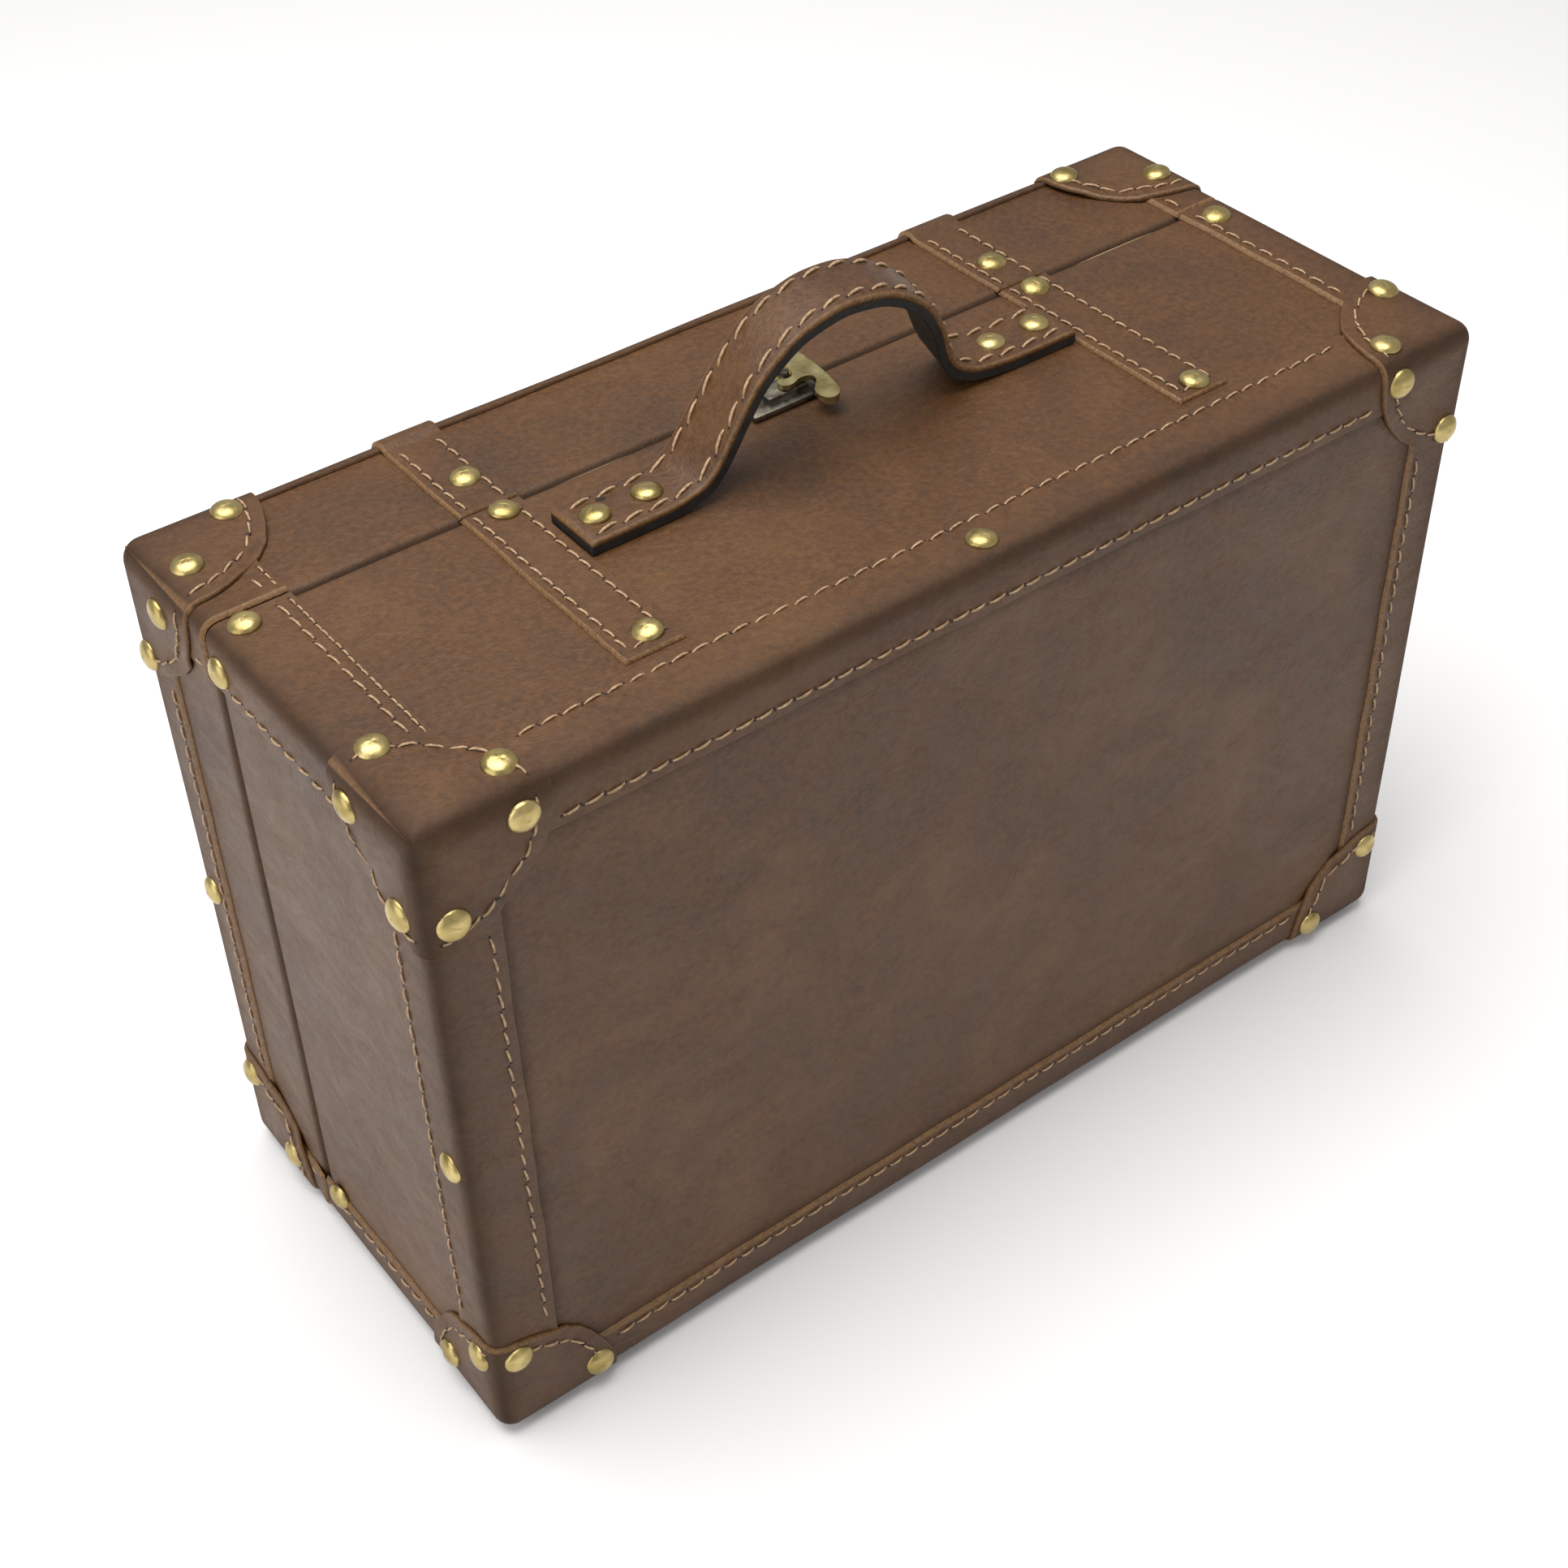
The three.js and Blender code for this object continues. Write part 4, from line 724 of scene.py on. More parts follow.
def sew(half, route, length, height, pitch=PITCH, stitch=STITCH, slant=0.35 * MM, radius=THREAD):
    """Stitches along a route from distances to flat points, at the heights that a function gives there."""
    count = max(1, int(length / pitch))
    middle = (np.arange(count) + 0.5) * length / count + random.uniform(-0.3, 0.3, count) * MM
    reach = stitch / 2 * random.uniform(0.9, 1.08, count)
    place = middle[:, None] + reach[:, None] * THREAD_STATIONS
    flat = route(place)
    core, away = outward(flat)
    forward = np.gradient(flat, axis=1)
    forward /= np.linalg.norm(forward, axis=-1, keepdims=True)
    sideways = np.cross(away, forward)
    lean = slant * THREAD_STATIONS[:, None] + random.uniform(-0.12, 0.12, (count, 1, 1)) * MM
    bulge = radius * (1.0 - 1.9 * np.abs(THREAD_STATIONS) ** 3.5)
    lift = height(flat) + EDGE_ROUND + unevenness(core) + bulge
    lift += random.uniform(-0.06, 0.1, (count, 1)) * MM
    centres = core + away * lift[..., None] + sideways * lean
    sewn[half].append((centres, away, radius))


def straight(start, end):
    """A route along the straight line from start, and its length."""
    start, end = np.array(start, float), np.array(end, float)
    length = np.linalg.norm(end - start)
    return (lambda place: start + (end - start) * (place / length)[..., None]), length


def arc(corner, inward, first, second):
    """A route round a case corner on the face of two axes, at the patch's stitch radius."""
    def route(place):
        turn = place / PATCH_ARC + ARC_START
        inside = np.zeros((*place.shape, 3))
        inside[..., first] = np.cos(turn) * PATCH_ARC
        inside[..., second] = np.sin(turn) * PATCH_ARC
        return corner + inward * inside
    return route, PATCH_ARC * (math.pi / 2 - 2 * ARC_START)


def level_height(value):
    """The same height all along a row."""
    return lambda flat: np.full(flat.shape[:-1], value)


def patch_top(corner):
    """The height of the top of the patch on a corner."""
    return lambda flat: patch_height(np.abs(flat - corner)) + PATCH


ARC_START = math.radians(4)
ON_BINDING = LAID + BINDING
ON_STRAP = LAID + STRAP
FACE_ROW = 3.5 * MM
SIDE_ROW = 3.3 * MM
STRAP_ROW = 6 * MM
PATCH_GAP = 1.5 * MM
WALL_ROWS = {1: 13.7 * MM, -1: 12 * MM}
FINE_SEWING = {"pitch": 3.3 * MM, "stitch": 3.1 * MM, "slant": 0.1 * MM, "radius": 0.34 * MM}
STRAP_SEWING = {"pitch": 5.6 * MM, "stitch": 4.6 * MM}
# Rows on the level faces by side: how far each is from the case's edge, and how it is sewn.
LEVEL_ROWS = {-1: ((18.9 * MM, {}), (22.5 * MM, FINE_SEWING)), 1: ((14.5 * MM, {}),)}
WALLS = ((-1, LEFT), (1, RIGHT))
LEVELS = ((1, TOP), (-1, BOTTOM))
X_FIRST, X_LAST = LEFT + PATCH_REACH, RIGHT - PATCH_REACH
Z_FIRST, Z_LAST = BOTTOM + PATCH_REACH, TOP - PATCH_REACH
on_binding = level_height(ON_BINDING)
on_strap = level_height(ON_STRAP)

for half, spec in HALVES.items():
    sign = spec["sign"]
    face = spec["face"]
    left, right, bottom, top = FACE_WIDTHS[half] - FACE_ROW
    for x_at in (LEFT + left, RIGHT - right):
        sew(half, *straight((x_at, face, Z_FIRST), (x_at, face, Z_LAST)), on_binding)
    for z_at in (BOTTOM + bottom, TOP - top):
        sew(half, *straight((X_FIRST, face, z_at), (X_LAST, face, z_at)), on_binding)
    left, right, bottom, top = face - sign * (SIDE_DEPTHS[half] - SIDE_ROW)
    for x_at, y_at in ((LEFT, left), (RIGHT, right)):
        sew(half, *straight((x_at, y_at, Z_FIRST), (x_at, y_at, Z_LAST)), on_binding)
    sew(half, *straight((X_FIRST, bottom, BOTTOM), (X_LAST, bottom, BOTTOM)), on_binding)
    if half == "base":
        sew(half, *straight((X_FIRST, top, TOP), (X_LAST, top, TOP)), on_binding)
    y_end = SEAM + sign * 3 * MM
    for right, edge_x in WALLS:
        for up, edge_z in LEVELS:
            for row, sewing in LEVEL_ROWS[right]:
                y_start = face - sign * math.sqrt(PATCH_RADIUS**2 - row**2) - sign * PATCH_GAP
                x_at = edge_x - right * row
                sew(half, *straight((x_at, y_start, edge_z), (x_at, y_end, edge_z)), on_binding, **sewing)
            wall_row = WALL_ROWS[up]
            z_at = edge_z - up * wall_row
            y_start = face - sign * (math.sqrt(PATCH_RADIUS**2 - wall_row**2) + PATCH_GAP)
            sew(half, *straight((edge_x, y_start, z_at), (edge_x, y_end, z_at)), on_binding)
            corner = np.array([edge_x, face, edge_z])
            inward = -np.array([right, sign, up])
            for first, second in ((0, 1), (1, 2), (2, 0)):
                route, length = arc(corner, inward, first, second)
                sew(half, route, length, patch_top(corner), pitch=5.7 * MM, stitch=5.3 * MM)

for centre in STRAP_X.values():
    for x_at in (centre - STRAP_ROW, centre + STRAP_ROW):
        base_row = straight((x_at, STRAP_START + 4 * MM, TOP), (x_at, SEAM - 1.5 * MM, TOP))
        lid_row = straight((x_at, SEAM + 1.5 * MM, TOP), (x_at, LID_FACE - 9 * MM, TOP))
        face_row = straight((x_at, LID_FACE, TOP - 24 * MM), (x_at, LID_FACE, TOP - STRAP_TAIL + 4 * MM))
        sew("base", *base_row, on_strap, **STRAP_SEWING)
        sew("lid", *lid_row, on_strap, **STRAP_SEWING)
        sew("lid", *face_row, on_strap)
    y_at = STRAP_START + 3.6 * MM
    end_row = straight((centre - 5.4 * MM, y_at, TOP), (centre + 5.4 * MM, y_at, TOP))
    sew("base", *end_row, on_strap, pitch=5.4 * MM, stitch=4.4 * MM)


def tube_piece(name, runs, body):
    """All stitches of one body in one mesh."""
    points, faces, first = [], [], 0
    for centres, normals, radius in runs:
        rows, one, size = thread_tubes(centres, normals, radius)
        starts = np.arange(len(centres)) * size + first
        points.append(rows)
        faces.append((one[None] + starts[:, None, None]).reshape(-1, 4))
        first += len(rows)
    points = np.concatenate(points)
    return make_piece(name, points, np.concatenate(faces), thread, body, merge=0)


def hole_piece(name, runs, body):
    """A small dark six-sided disc at both ends of each stitch, lying just over the leather: painted shade for
    its punched hole.
    """
    angle = np.arange(6) * math.tau / 6
    discs = []
    for centres, normals, radius in runs:
        normal = np.broadcast_to(normals, centres.shape)
        for end, inner in ((0, 1), (-1, -2)):
            along = centres[:, end] - centres[:, inner]
            up = normal[:, end]
            along -= up * (along * up).sum(axis=-1, keepdims=True)
            along /= np.linalg.norm(along, axis=-1, keepdims=True)
            side = np.cross(up, along)
            at = centres[:, end] + up * (0.94 * radius) + along * 0.25 * MM
            ring = np.cos(angle)[:, None] * along[:, None] * 1.25 + np.sin(angle)[:, None] * side[:, None]
            discs.append(at[:, None] + HOLE * ring)
    points = np.concatenate(discs).reshape(-1, 3)
    faces = np.arange(len(points)).reshape(-1, 6)
    return make_piece(name, points, faces, hole_painted_shade, body, merge=0)


# ---------------------------------------------------------------- handle
# A strip of the same brown leather over a stiffer black lining, sewn together along both long edges and bent
# into an arch. Its flat ends are nailed to the base, and the arch stands a little twisted.
HANDLE_Y = (-7.5 * MM, 12.5 * MM)
HANDLE_LEATHER = 1.9 * MM
HANDLE_LINING = 2.7 * MM
FRONT_LINE = [
    (-85.3, 2.7), (-70, 2.7), (-57, 2.9), (-47.5, 5.2), (-42.9, 9.6), (-35.5, 20.9), (-28.5, 30.9),
    (-16, 39.8), (-0.7, 43.4), (13.4, 41.5), (22, 37.5), (29.4, 31.2), (34.1, 22.2), (36, 13.9),
    (39.5, 8.4), (46.9, 4.4), (59.5, 2.9), (72, 2.7), (85.3, 2.7),
]
REAR_LINE = [
    (-85.3, 2.7), (-70, 2.7), (-60, 2.8), (-52, 3.8), (-46, 8), (-37.5, 18.5), (-27.2, 31.6), (-17.6, 40.1),
    (-3, 44.6), (10, 44.2), (20, 40.9), (30, 34.8), (37.5, 26.5), (41, 17), (44.5, 9.5), (51, 4.8),
    (61, 3.0), (73, 2.7), (85.3, 2.7),
]
HANDLE_STEPS = 181
ACROSS = np.array([0, 0.018, 0.05, 0.12, 0.25, 0.4, 0.5, 0.6, 0.75, 0.88, 0.95, 0.982, 1])
CROWN = np.array([0.62, 0.88, 1.0, 1.05, 1.1, 1.13, 1.14, 1.13, 1.1, 1.05, 1.0, 0.88, 0.62])


def eased(line):
    """A smooth curve near a line of given points: the line, then a running mean, with its ends held."""
    knots = np.array(line) * MM
    share = np.linspace(0, len(knots) - 1, HANDLE_STEPS)
    order = np.arange(len(knots))
    dense = np.stack([np.interp(share, order, column) for column in knots.T], axis=-1)
    window = np.hanning(15)[1:-1]
    window = window / window.sum()
    padded = np.concatenate([2 * dense[:1] - dense[6:0:-1], dense, 2 * dense[-1:] - dense[-2:-8:-1]])
    return np.stack([np.convolve(column, window, "valid") for column in padded.T], axis=-1)


front_curve, rear_curve = eased(FRONT_LINE), eased(REAR_LINE)


def handle_at(share, offset):
    """Points and normals of the handle, by the share from its front edge to its rear and a height."""
    share = np.asarray(share, float)
    line = front_curve[:, None] * (1 - share)[:, None] + rear_curve[:, None] * share[:, None]
    tangent = np.gradient(line, axis=0)
    tangent /= np.linalg.norm(tangent, axis=-1, keepdims=True)
    out = np.stack([-tangent[..., 1], tangent[..., 0]], axis=-1)
    place = line + out * np.broadcast_to(offset, line.shape[:2])[..., None]
    y = HANDLE_Y[0] + (HANDLE_Y[1] - HANDLE_Y[0]) * share
    points = np.stack([place[..., 0], np.broadcast_to(y, place.shape[:2]), TOP + place[..., 1]], axis=-1)
    normals = np.stack([out[..., 0], np.zeros(out.shape[:2]), out[..., 1]], axis=-1)
    return points, normals


handle_hide = leather_material("handle_leather", roughness=(0.34, 0.46))
lining_black = simple_material(
    "handle_lining_black", (0.006, 0.0055, 0.005), (0.016, 0.015, 0.014), 260, (0.5, 0.75),
    bumps=[(1500, 0.12 * MM)],
)
end_taper = np.minimum(np.arange(HANDLE_STEPS), np.arange(HANDLE_STEPS)[::-1])
CROWN_HEIGHT = HANDLE_LEATHER * CROWN[None] * np.where(end_taper == 0, 0.62, 1)[:, None]
outer_grid = handle_at(ACROSS, CROWN_HEIGHT)[0]
middle_grid = handle_at(ACROSS, 0.05 * MM)[0]
inner_grid = handle_at(ACROSS, -HANDLE_LINING * (0.7 + 0.3 * np.minimum(CROWN, 1)))[0]
inner_grid[..., 2] = np.maximum(inner_grid[..., 2], TOP + 0.35 * MM)
edge_raw = np.zeros((HANDLE_STEPS, len(ACROSS)))
edge_raw[:, [0, 1, -2, -1]] = 0.9
edge_raw[[0, -1]] = 0.9
arch_wear = 0.28 * bell(np.abs(ACROSS - 0.5)[None] - 0.46, 0.05) + np.zeros((HANDLE_STEPS, 1))
points, faces = closed_sheet(outer_grid, middle_grid)
handle = make_piece(
    "handle_leather", points, faces, handle_hide, "base",
    {"raw": np.tile(edge_raw.ravel(), 2), "wear_and_shade": np.tile(arch_wear.ravel(), 2)},
)
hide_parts("handle_strap")
points, faces = closed_sheet(middle_grid - [0, 0, 0.08 * MM], inner_grid)
lining = make_piece("handle_black_lining", points, faces, lining_black, "base", crease=50)
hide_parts("handle_backing")

HANDLE_PITCH = 8.3 * MM
HANDLE_STITCH = 7.2 * MM
for share in (0.15, 0.85):
    row, normal = handle_at([share], HANDLE_LEATHER * 1.05)
    row, normal = row[:, 0], normal[:, 0]
    travelled = np.concatenate([[0], np.cumsum(np.linalg.norm(np.diff(row, axis=0), axis=-1))])
    count = int((travelled[-1] - 6 * MM) / HANDLE_PITCH)
    middle = 3 * MM + (np.arange(count) + 0.5) * (travelled[-1] - 6 * MM) / count
    place = middle[:, None] + HANDLE_STITCH / 2 * THREAD_STATIONS
    centres = np.stack([np.interp(place, travelled, row[:, axis]) for axis in range(3)], axis=-1)
    normals = np.stack([np.interp(place, travelled, normal[:, axis]) for axis in range(3)], axis=-1)
    centres += normals * (0.5 * MM * (1.0 - 1.9 * np.abs(THREAD_STATIONS) ** 3.5))[:, None]
    centres[..., 1] += 0.75 * MM * THREAD_STATIONS
    sewn["base"].append((centres, normals, 0.5 * MM))

for half, runs in sewn.items():
    tube_piece(f"{half}_stitches", runs, half)
    hole_piece(f"{half}_stitch_holes", runs, half)

# Painted shade: two spare punched holes in the handle, drawn as dark discs.
punched = []
for x_hole in (-72.5, -55.5):
    turn = np.arange(10) * math.tau / 10
    x = x_hole * MM + 1.5 * MM * np.cos(turn)
    y = 7.6 * MM + 1.2 * MM * np.sin(turn)
    punched.append(np.stack([x, y, np.full(10, TOP + 4.88 * MM)], axis=-1))
hole_faces = np.arange(20).reshape(2, 10)
make_piece(
    "handle_spare_holes", np.concatenate(punched), hole_faces, hole_painted_shade, "base", merge=0,
)

# ---------------------------------------------------------------- nails
# Domed brass upholstery nails hold down the patches, the corner strips, the bindings, straps and handle.
# Each head is pressed from thin sheet, softly dented and set slightly out of true.
HEAD = 4.75 * MM
DOME = 2.15 * MM
HEAD_SKIRT = 0.5 * MM
HEAD_TURNS = 20
brass_old = simple_material(
    "old_brass", (0.33, 0.245, 0.085), (0.58, 0.46, 0.20), 150, (0.26, 0.44), metal=1.0,
    bumps=[(260, 0.35 * MM), (1400, 0.05 * MM)],
)
NAIL_NEAR = 6.3
NAIL_FAR = 29.3
# Where the nails sit on corners that differ from the usual, in pairs of distances: on the level face from the
# wall and the large face, on the large face from the wall and the level face, and on the wall from the large
# face and the level face.
CORNER_NAILS = {
    ("base", 1, -1): {
        "level": [(8.8, 33.0), (29.6, 9.0)],
        "face": [(28.2, 5.4), (6.0, 27.6)],
        "wall": [(28.4, 6.9), (8.5, 27.7)],
    },
    ("base", 1, 1): {"level": [(5.4, 28.3), (28.5, 6.4)], "face": [(29.9, 5.6), (5.4, 31.0)]},
    ("base", -1, -1): {"face": [(5.4, 30.5), (31.0, 7.1)], "wall": [(26.1, 8.9), (6.4, 28.7)]},
    ("base", -1, 1): {"face": [(6.4, 28.9), (29.5, 5.4)]},
    ("lid", 1, -1): {"level": [(27.4, 5.4), (7.5, 21.3)], "wall": [(19.9, 9.4), (5.4, 32)]},
    ("lid", 1, 1): {"level": [(30.5, 6.1), (6.4, 23.7)]},
    ("lid", -1, -1): {"wall": [(5.4, 28.9), (26.6, 8.6)]},
}
USUAL = [(NAIL_NEAR, NAIL_FAR), (NAIL_FAR, NAIL_NEAR)]
heads = {"base": [], "lid": []}


def nail(half, at, normal, height):
    """Sets one nail at a flat point, its head standing along a face normal at a height over the leather."""
    heads[half].append((np.array(at, float), np.array(normal, float), height))


for half, spec in HALVES.items():
    for up in (1, -1):
        for right in (-1, 1):
            spots = CORNER_NAILS.get((half, up, right), {})
            corner = np.array([RIGHT if right > 0 else LEFT, spec["face"], TOP if up > 0 else BOTTOM])
            inward = -np.array([right, spec["sign"], up])
            for where, axes in (("level", (0, 1)), ("face", (0, 2)), ("wall", (1, 2))):
                out_axis = 3 - sum(axes)
                for pair in spots.get(where, USUAL):
                    inside = np.zeros(3)
                    inside[list(axes)] = np.array(pair) * MM
                    normal = np.zeros(3)
                    normal[out_axis] = -inward[out_axis]
                    nail(half, corner + inward * inside, normal, float(patch_height(inside)) + PATCH)

UPWARD = np.array([0, 0, 1.0])
FRONT_NAIL_X = LEFT + 178.5 * MM
# Beside the seam the base has a nail on top of each corner, and two on each wall.
for (right, edge_x), further in zip(WALLS, (0, 1.7 * MM)):
    x_at = edge_x - right * (8.1 * MM + further)
    nail("base", (x_at, SEAM - 5.3 * MM - 1.8 * further, TOP), UPWARD, ON_BINDING)
for y_at, z_at in ((SEAM - 5.8 * MM, TOP - 9.8 * MM), (SEAM - 9.5 * MM, BOTTOM + 14.4 * MM)):
    for right, edge_x in WALLS:
        nail("base", (edge_x, y_at, z_at), (right, 0, 0), ON_BINDING)
for up, edge_z in LEVELS:
    nail("base", (FRONT_NAIL_X, BASE_FACE + 8.1 * MM, edge_z), up * UPWARD, ON_BINDING)
for right, edge_x in WALLS:
    nail("base", (edge_x, BASE_FACE + 6.5 * MM, 116 * MM), (right, 0, 0), ON_BINDING)
    nail("lid", (edge_x, LID_FACE - 6.6 * MM, 114.7 * MM), (right, 0, 0), ON_BINDING)
for x_at, y_from in ((86.8, 99.0), (86.8, 31.4), (276.1, 97.7), (276.6, 29.6)):
    nail("base", (LEFT + x_at * MM, BASE_FACE + (y_from - 0.8) * MM, TOP), UPWARD, ON_STRAP)
for x_at, y_from in ((86.7, 118.4), (275.8, 116.6)):
    nail("lid", (LEFT + x_at * MM, BASE_FACE + y_from * MM, TOP), UPWARD, ON_STRAP)
for x_at in (-77.8, -60.8, 60.8, 77.8):
    nail("base", (x_at * MM, 2.5 * MM, TOP), UPWARD, 2.7 * MM + HANDLE_LEATHER * 1.1)

rim = np.array([0, 0.2, 0.4, 0.58, 0.74, 0.86, 0.94, 0.985, 1.0, 0.995])
rise = np.concatenate([(1 - rim[:9] ** 2.6) ** 0.62, [-HEAD_SKIRT / DOME]])
head_angle = np.arange(HEAD_TURNS) * math.tau / HEAD_TURNS
HEAD_SHAPE = np.stack([
    HEAD * rim * np.cos(head_angle)[:, None],
    HEAD * rim * np.sin(head_angle)[:, None],
    np.broadcast_to(DOME * rise, (HEAD_TURNS, len(rim))),
], axis=-1)


def nail_piece(half):
    """All nails of one body: the round head turned to each face, sized and tilted a little at random."""
    grids, faces = [], []
    one = grid_faces(HEAD_TURNS, len(rim), wrap=True)
    for index, (at, normal, height) in enumerate(heads[half]):
        first = np.roll(np.abs(normal), 1)
        lean = normal + 0.07 * random.standard_normal(3)
        lean /= np.linalg.norm(lean)
        second = np.cross(lean, first)
        second /= np.linalg.norm(second)
        third = np.cross(second, lean)
        size = random.uniform(0.97, 1.0)
        dent = 1 + 0.03 * np.sin(3 * head_angle[:, None] + index) * (1 - rim)
        shape = HEAD_SHAPE * size
        grid = shape[..., :1] * third + shape[..., 1:2] * second + (shape[..., 2] * dent)[..., None] * lean
        grids.append(at + normal * (height + 0.1 * MM) + grid)
        faces.append(one + index * grid[..., 0].size)
    points = np.concatenate([grid.reshape(-1, 3) for grid in grids])
    return make_piece(f"{half}_nails", points, np.concatenate(faces), brass_old, half)


for half in HALVES:
    nail_piece(half)

# ---------------------------------------------------------------- latch and hinges
# Sheet brass parts, cut and bent: two plates riveted to the handle side, a hook that swings on the lid's
# plate and catches a pin on the base's, and two leaf hinges on the opposite side. All but the hook have
# softly rounded edges.
old_steel = simple_material(
    "bright_steel", (0.42, 0.42, 0.41), (0.62, 0.62, 0.60), 90, (0.22, 0.4), metal=1.0,
    bumps=[(900, 0.03 * MM)],
)
latch_brass = simple_material(
    "latch_brass", (0.34, 0.27, 0.10), (0.60, 0.52, 0.26), 170, (0.24, 0.42), metal=1.0,
    bumps=[(420, 0.12 * MM)],
)
plate_grey = simple_material(
    "plate_grey", (0.07, 0.062, 0.05), (0.24, 0.215, 0.17), 230, (0.28, 0.46), metal=1.0,
    bumps=[(500, 0.1 * MM)],
)


def softened(node, width, material, body, segments=2, sharp=35):
    """The node's own solid with its doubles merged and its sharp edges rounded to a width."""
    mesh = nodes[node].data.copy()
    shape = bmesh.new()
    shape.from_mesh(mesh)
    bmesh.ops.remove_doubles(shape, verts=shape.verts, dist=0.002 * MM)
    bmesh.ops.dissolve_limit(shape, angle_limit=math.radians(0.5), verts=shape.verts, edges=shape.edges)
    closed = [edge for edge in shape.edges if edge.is_manifold]
    edges = [edge for edge in closed if edge.calc_face_angle(0) > math.radians(sharp)]
    bmesh.ops.bevel(
        shape, geom=edges, offset=width, segments=segments, profile=0.5, affect="EDGES", clamp_overlap=True,
    )
    bmesh.ops.triangulate(shape, faces=[face for face in shape.faces if len(face.verts) > 4])
    shape.to_mesh(mesh)
    shape.free()
    mesh.materials.clear()
    mesh.materials.append(material)
    mesh.polygons.foreach_set("use_smooth", np.ones(len(mesh.polygons), bool))
    mesh.set_sharp_from_angle(angle=math.radians(sharp))
    piece = bpy.data.objects.new(f"{node}_finished", mesh)
    bpy.context.collection.objects.link(piece)
    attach(piece, body)
    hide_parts(node)
    return piece


# The hook's outline from its eye down the right side to the thumb tab, and back past the lobe and notch.
HOOK_OUTLINE = [
    (4.6, 37.6), (9, 40.6), (13.4, 37.4), (13.3, 31.5), (13.3, 26), (13.0, 21.5), (12.3, 16.6), (11.3, 12),
    (10.6, 9.2), (8.6, 7.4), (5.6, 7.6), (4.0, 9.8), (4.0, 12.8), (6.4, 15.2), (8.5, 17.4), (8.8, 19.8),
    (7.0, 20.8), (4.6, 20.9), (2.2, 19.6), (-0.6, 19.5), (-1.9, 21.8), (-0.9, 24), (0.8, 23.9), (1.6, 22.9),
    (3.4, 22.8), (5.0, 24.2), (5.9, 27.2), (5.0, 30.5), (4.4, 34),
]
HOOK_SHEET = (TOP + 4.3 * MM, TOP + 5.9 * MM)
OUTLINE_STEPS = 8


def rounded_outline(corners):
    """A closed smooth line near given corners: each span is a quadratic curve between edge middles."""
    knots = np.array(corners) * MM
    before = (knots + np.roll(knots, 1, axis=0)) / 2
    after = (knots + np.roll(knots, -1, axis=0)) / 2
    t = (np.arange(OUTLINE_STEPS) / OUTLINE_STEPS)[None, :, None]
    curve = before[:, None] * (1 - t) ** 2 + 2 * knots[:, None] * t * (1 - t) + after[:, None] * t**2
    return curve.reshape(-1, 2)


def hook_piece():
    """The outline as a sheet with cut edges, whose tab thickens and bends down towards its end."""
    outline = rounded_outline(HOOK_OUTLINE)
    count = len(outline)
    points = np.concatenate([np.column_stack([outline, np.full(count, z)]) for z in HOOK_SHEET])
    ring = np.arange(count)
    after = np.roll(ring, -1)
    sides = np.stack([ring, after, after + count, ring + count], axis=-1)
    mesh = bpy.data.meshes.new("latch_hook_cast")
    mesh.from_pydata(points.tolist(), [], [(ring + count).tolist(), ring[::-1].tolist(), *sides.tolist()])
    shape = bmesh.new()
    shape.from_mesh(mesh)
    for y_cut in np.arange(7, 13, 0.75) * MM:
        whole = shape.verts[:] + shape.edges[:] + shape.faces[:]
        bmesh.ops.bisect_plane(shape, geom=whole, plane_co=(0, y_cut, 0), plane_no=(0, 1, 0))
    bmesh.ops.triangulate(shape, faces=[face for face in shape.faces if len(face.verts) > 4])
    bmesh.ops.recalc_face_normals(shape, faces=shape.faces)
    shape.to_mesh(mesh)
    shape.free()
    points = np.zeros(3 * len(mesh.vertices))
    mesh.vertices.foreach_get("co", points)
    points = points.reshape(-1, 3)
    towards_end = smooth((12.5 * MM - points[:, 1]) / (6.5 * MM))
    lowered = np.where(points[:, 2] < HOOK_SHEET[0] + 0.8 * MM, 1.5, 0.6) * MM
    points[:, 2] -= lowered * towards_end
    mesh.vertices.foreach_set("co", points.ravel())
    mesh.polygons.foreach_set("use_smooth", np.ones(len(mesh.polygons), bool))
    mesh.set_sharp_from_angle(angle=math.radians(50))
    mesh.materials.append(latch_brass)
    hook = bpy.data.objects.new("latch_hook_cast", mesh)
    bpy.context.collection.objects.link(hook)
    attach(hook, "latch")
    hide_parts("latch_hook")


hook_piece()
softened("latch_lid_plate", 0.3 * MM, latch_brass, "lid")
softened("latch_base_plate", 0.3 * MM, plate_grey, "base")
for side_name in ("left", "right"):
    softened(f"hinge_base_{side_name}", 0.25 * MM, latch_brass, "base")
    softened(f"hinge_lid_{side_name}", 0.25 * MM, latch_brass, "lid")

# ---------------------------------------------------------------- wooden trays and lining
# The case is two trays of birch plywood. The lid is lined with black cloth glued over thin board.
plywood = simple_material(
    "birch_plywood", (0.36, 0.235, 0.13), (0.56, 0.40, 0.24), 42, (0.55, 0.75),
    bumps=[(260, 0.08 * MM)], stretch=(0.5, 6, 0.5),
)
lining_cloth = simple_material(
    "black_lining_cloth", (0.010, 0.009, 0.008), (0.028, 0.025, 0.022), 1300, (0.8, 0.95),
    bumps=[(2200, 0.2 * MM)], stretch=(1, 1, 0.4),
)
softened("base_box", 0.5 * MM, plywood, "base")
softened("lid_box", 0.5 * MM, plywood, "lid")
softened("lid_lining", 0.4 * MM, lining_cloth, "lid")

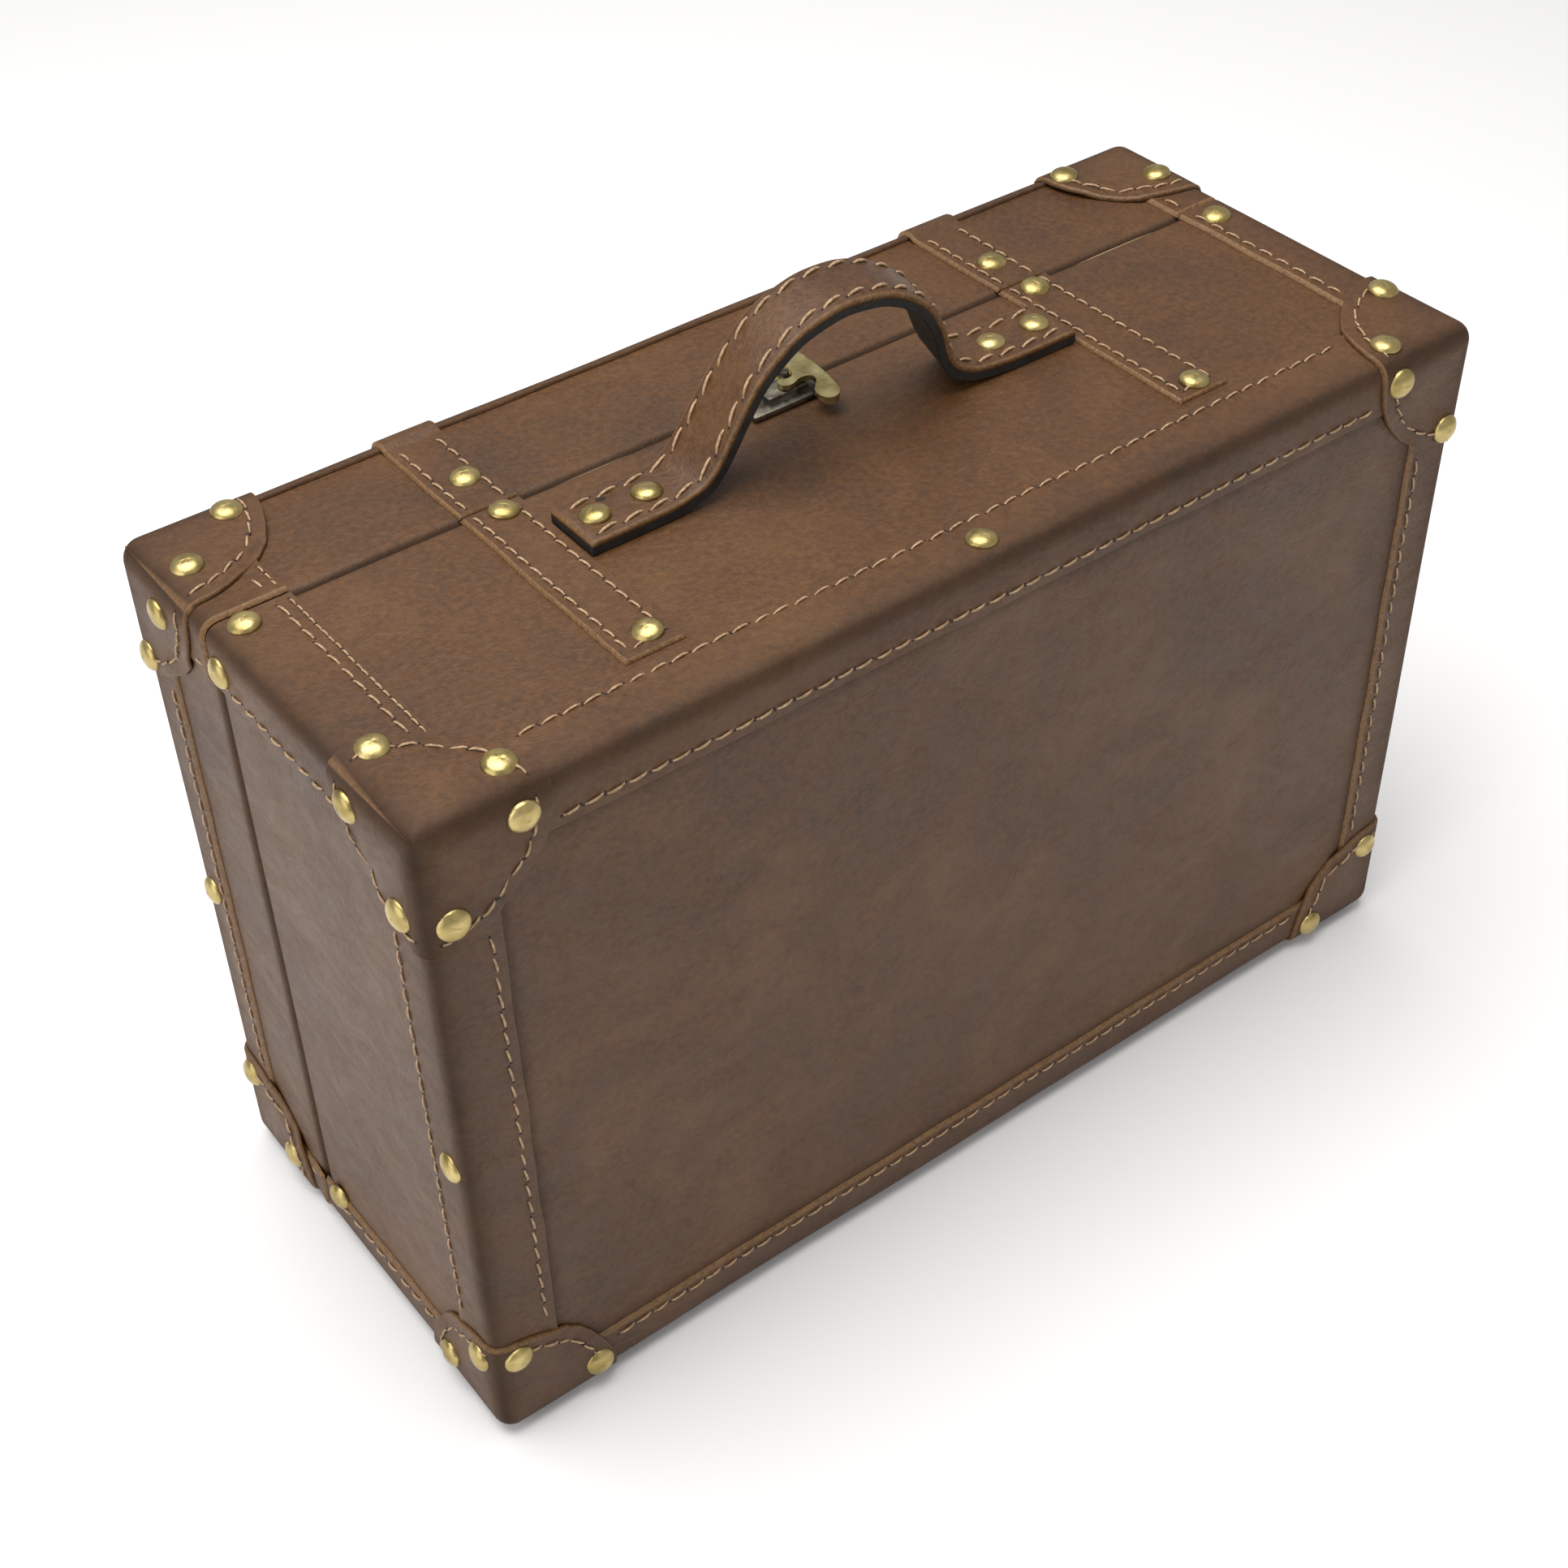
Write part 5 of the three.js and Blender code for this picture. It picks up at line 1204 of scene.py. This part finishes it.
# ---------------------------------------------------------------- deck
# A moulded deck covered in black grained vinyl drops into the base, with a speaker behind each of its two
# slotted corners. The circuit board and the sockets are fixed inside the base.
deck_vinyl = simple_material(
    "deck_vinyl", (0.012, 0.011, 0.010), (0.030, 0.027, 0.024), 300, (0.42, 0.6),
    bumps=[(760, 0.22 * MM), (2400, 0.05 * MM)],
)
cone_paper = simple_material(
    "speaker_paper", (0.014, 0.014, 0.014), (0.045, 0.043, 0.040), 420, (0.7, 0.9), bumps=[(900, 0.12 * MM)],
)
board_green = simple_material(
    "circuit_board_green", (0.010, 0.055, 0.022), (0.022, 0.105, 0.045), 500, (0.35, 0.5),
    bumps=[(1600, 0.05 * MM)],
)
socket_black = simple_material(
    "socket_plastic", (0.012, 0.012, 0.012), (0.028, 0.028, 0.028), 350, (0.38, 0.55),
    bumps=[(1900, 0.04 * MM)],
)
softened("deck_plate", 0.35 * MM, deck_vinyl, "base")
softened("speaker_upper", 0.3 * MM, cone_paper, "base")
softened("speaker_lower", 0.3 * MM, cone_paper, "base")
softened("circuit_board", 0.15 * MM, board_green, "base")
softened("socket_plate", 0.4 * MM, socket_black, "base")

# ---------------------------------------------------------------- platter and drive
# A moulded platter under a felt mat turns on a steel spindle. A rubber belt drives it from the brass pulley
# of the motor.
platter_black = simple_material(
    "platter_plastic", (0.011, 0.011, 0.012), (0.026, 0.026, 0.028), 140, (0.3, 0.45),
    bumps=[(1500, 0.04 * MM)],
)
felt = simple_material(
    "mat_felt", (0.016, 0.015, 0.014), (0.048, 0.044, 0.040), 1500, (0.9, 1.0), bumps=[(2600, 0.3 * MM)],
)
rubber = simple_material(
    "belt_rubber", (0.008, 0.008, 0.008), (0.020, 0.020, 0.020), 600, (0.6, 0.8), bumps=[(1800, 0.05 * MM)],
)
TURNS = 128


def turned(name, node, profile, material, body, crease=35):
    """A turned piece: a closed outline of (radius, height) carried round the node's centre line along y."""
    low, high = np.array(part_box(node)[0]), np.array(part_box(node)[1])
    centre = (low + high) / 2
    angle = np.arange(TURNS) * math.tau / TURNS
    radius, height = np.array(profile).T * MM
    x = centre[0] + np.cos(angle)[:, None] * radius
    z = centre[2] + np.sin(angle)[:, None] * radius
    points = np.stack(np.broadcast_arrays(x, low[1] + height, z), axis=-1)
    closed = np.concatenate([points, points[:, :1]], axis=1)
    faces = grid_faces(TURNS, closed.shape[1], wrap=True)
    piece = make_piece(name, closed, faces, material, body, crease=crease)
    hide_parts(node)
    return piece


def half_width(node):
    """Half of a round node's box across x, in millimetres."""
    return (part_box(node)[1][0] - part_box(node)[0][0]) / 2 / MM


rim_radius = half_width("platter")
turned("platter_moulded", "platter", [
    (4.1, 7.4), (4.1, 0.4), (12, 0.4), (12.6, 1), (12.6, 4.9), (57.2, 4.9), (57.2, 1.1), (57.6, 0.7),
    (59.4, 0.7), (59.75, 1.1), (59.75, 4.9), (rim_radius - 3, 4.9), (rim_radius - 3, 0.6),
    (rim_radius - 2.4, 0), (rim_radius - 0.7, 0), (rim_radius, 0.7), (rim_radius, 6.2),
    (rim_radius - 0.35, 6.9), (rim_radius - 1.2, 7.2), (rim_radius - 2.6, 7.3), (rim_radius - 3.2, 7.1),
    (rim_radius - 3.8, 7.1), (rim_radius - 4.4, 7.4), (30, 7.4),
], platter_black, "platter")
mat_radius = half_width("slipmat")
turned("felt_mat", "slipmat", [
    (4.3, 0.05), (4.3, 1.0), (4.8, 1.2), (20, 1.2), (60, 1.17), (mat_radius - 0.8, 1.2),
    (mat_radius - 0.2, 1.0), (mat_radius, 0.6), (mat_radius - 0.2, 0.15), (mat_radius - 0.6, 0.05),
    (50, 0.05),
], felt, "platter")
softened("spindle", 0.4 * MM, old_steel, "base", segments=3)
softened("motor", 0.5 * MM, old_steel, "base")
softened("motor_pulley", 0.2 * MM, latch_brass, "pulley")
softened("belt", 0.15 * MM, rubber, "base")

# ---------------------------------------------------------------- tonearm
# A straight aluminium tube in moulded black bearings, with a steel counterweight behind and a ceramic
# cartridge in front. It lies in a clip, and a lever at its pivot lifts it by a steel bar.
arm_black = simple_material(
    "arm_plastic", (0.012, 0.012, 0.013), (0.030, 0.030, 0.032), 260, (0.3, 0.48), bumps=[(1700, 0.04 * MM)],
)
arm_silver = simple_material(
    "arm_aluminium", (0.50, 0.50, 0.49), (0.70, 0.70, 0.68), 120, (0.25, 0.38), metal=1.0,
    bumps=[(1500, 0.02 * MM)], stretch=(4, 4, 0.4),
)
cartridge_red = simple_material(
    "cartridge_plastic", (0.15, 0.012, 0.010), (0.26, 0.022, 0.016), 420, (0.3, 0.42),
    bumps=[(1600, 0.03 * MM)],
)
for node, width, material, body, slot in (
    ("tonearm_base", 0.4, arm_black, "base", "arm_plastic"),
    ("tonearm_yoke", 0.4, arm_black, "arm_turret", "arm_plastic"),
    ("tonearm", 0.4, arm_silver, "arm", "arm_tube"),
    ("counterweight", 0.6, old_steel, "arm", "steel"),
    ("cartridge", 0.3, cartridge_red, "arm", "cartridge_plastic"),
    ("arm_rest", 0.4, arm_black, "base", "arm_plastic"),
    ("arm_clip", 0.25, arm_black, "clip", "arm_plastic"),
    ("cue_lever", 0.5, arm_black, "cue_handle", "arm_plastic"),
    ("cue_platform", 0.25, old_steel, "cue_bar", "steel"),
):
    softened(node, width * MM, material, body)

# ---------------------------------------------------------------- controls
# A moulded volume knob with a pressed pointer line, a sliding speed switch and a loose adaptor for 7 inch
# records, which rests on a post.
knob_black = simple_material(
    "knob_plastic", (0.014, 0.013, 0.012), (0.034, 0.032, 0.030), 300, (0.3, 0.45), bumps=[(1600, 0.04 * MM)],
)
adapter_amber = simple_material(
    "adapter_plastic", (0.30, 0.17, 0.045), (0.44, 0.27, 0.08), 200, (0.28, 0.4), bumps=[(1500, 0.03 * MM)],
)
softened("volume_knob", 0.5 * MM, knob_black, "volume", segments=3)
softened("speed_switch", 0.5 * MM, arm_black, "speed", segments=3)
softened("single_adapter", 0.5 * MM, adapter_amber, "adapter", segments=3)
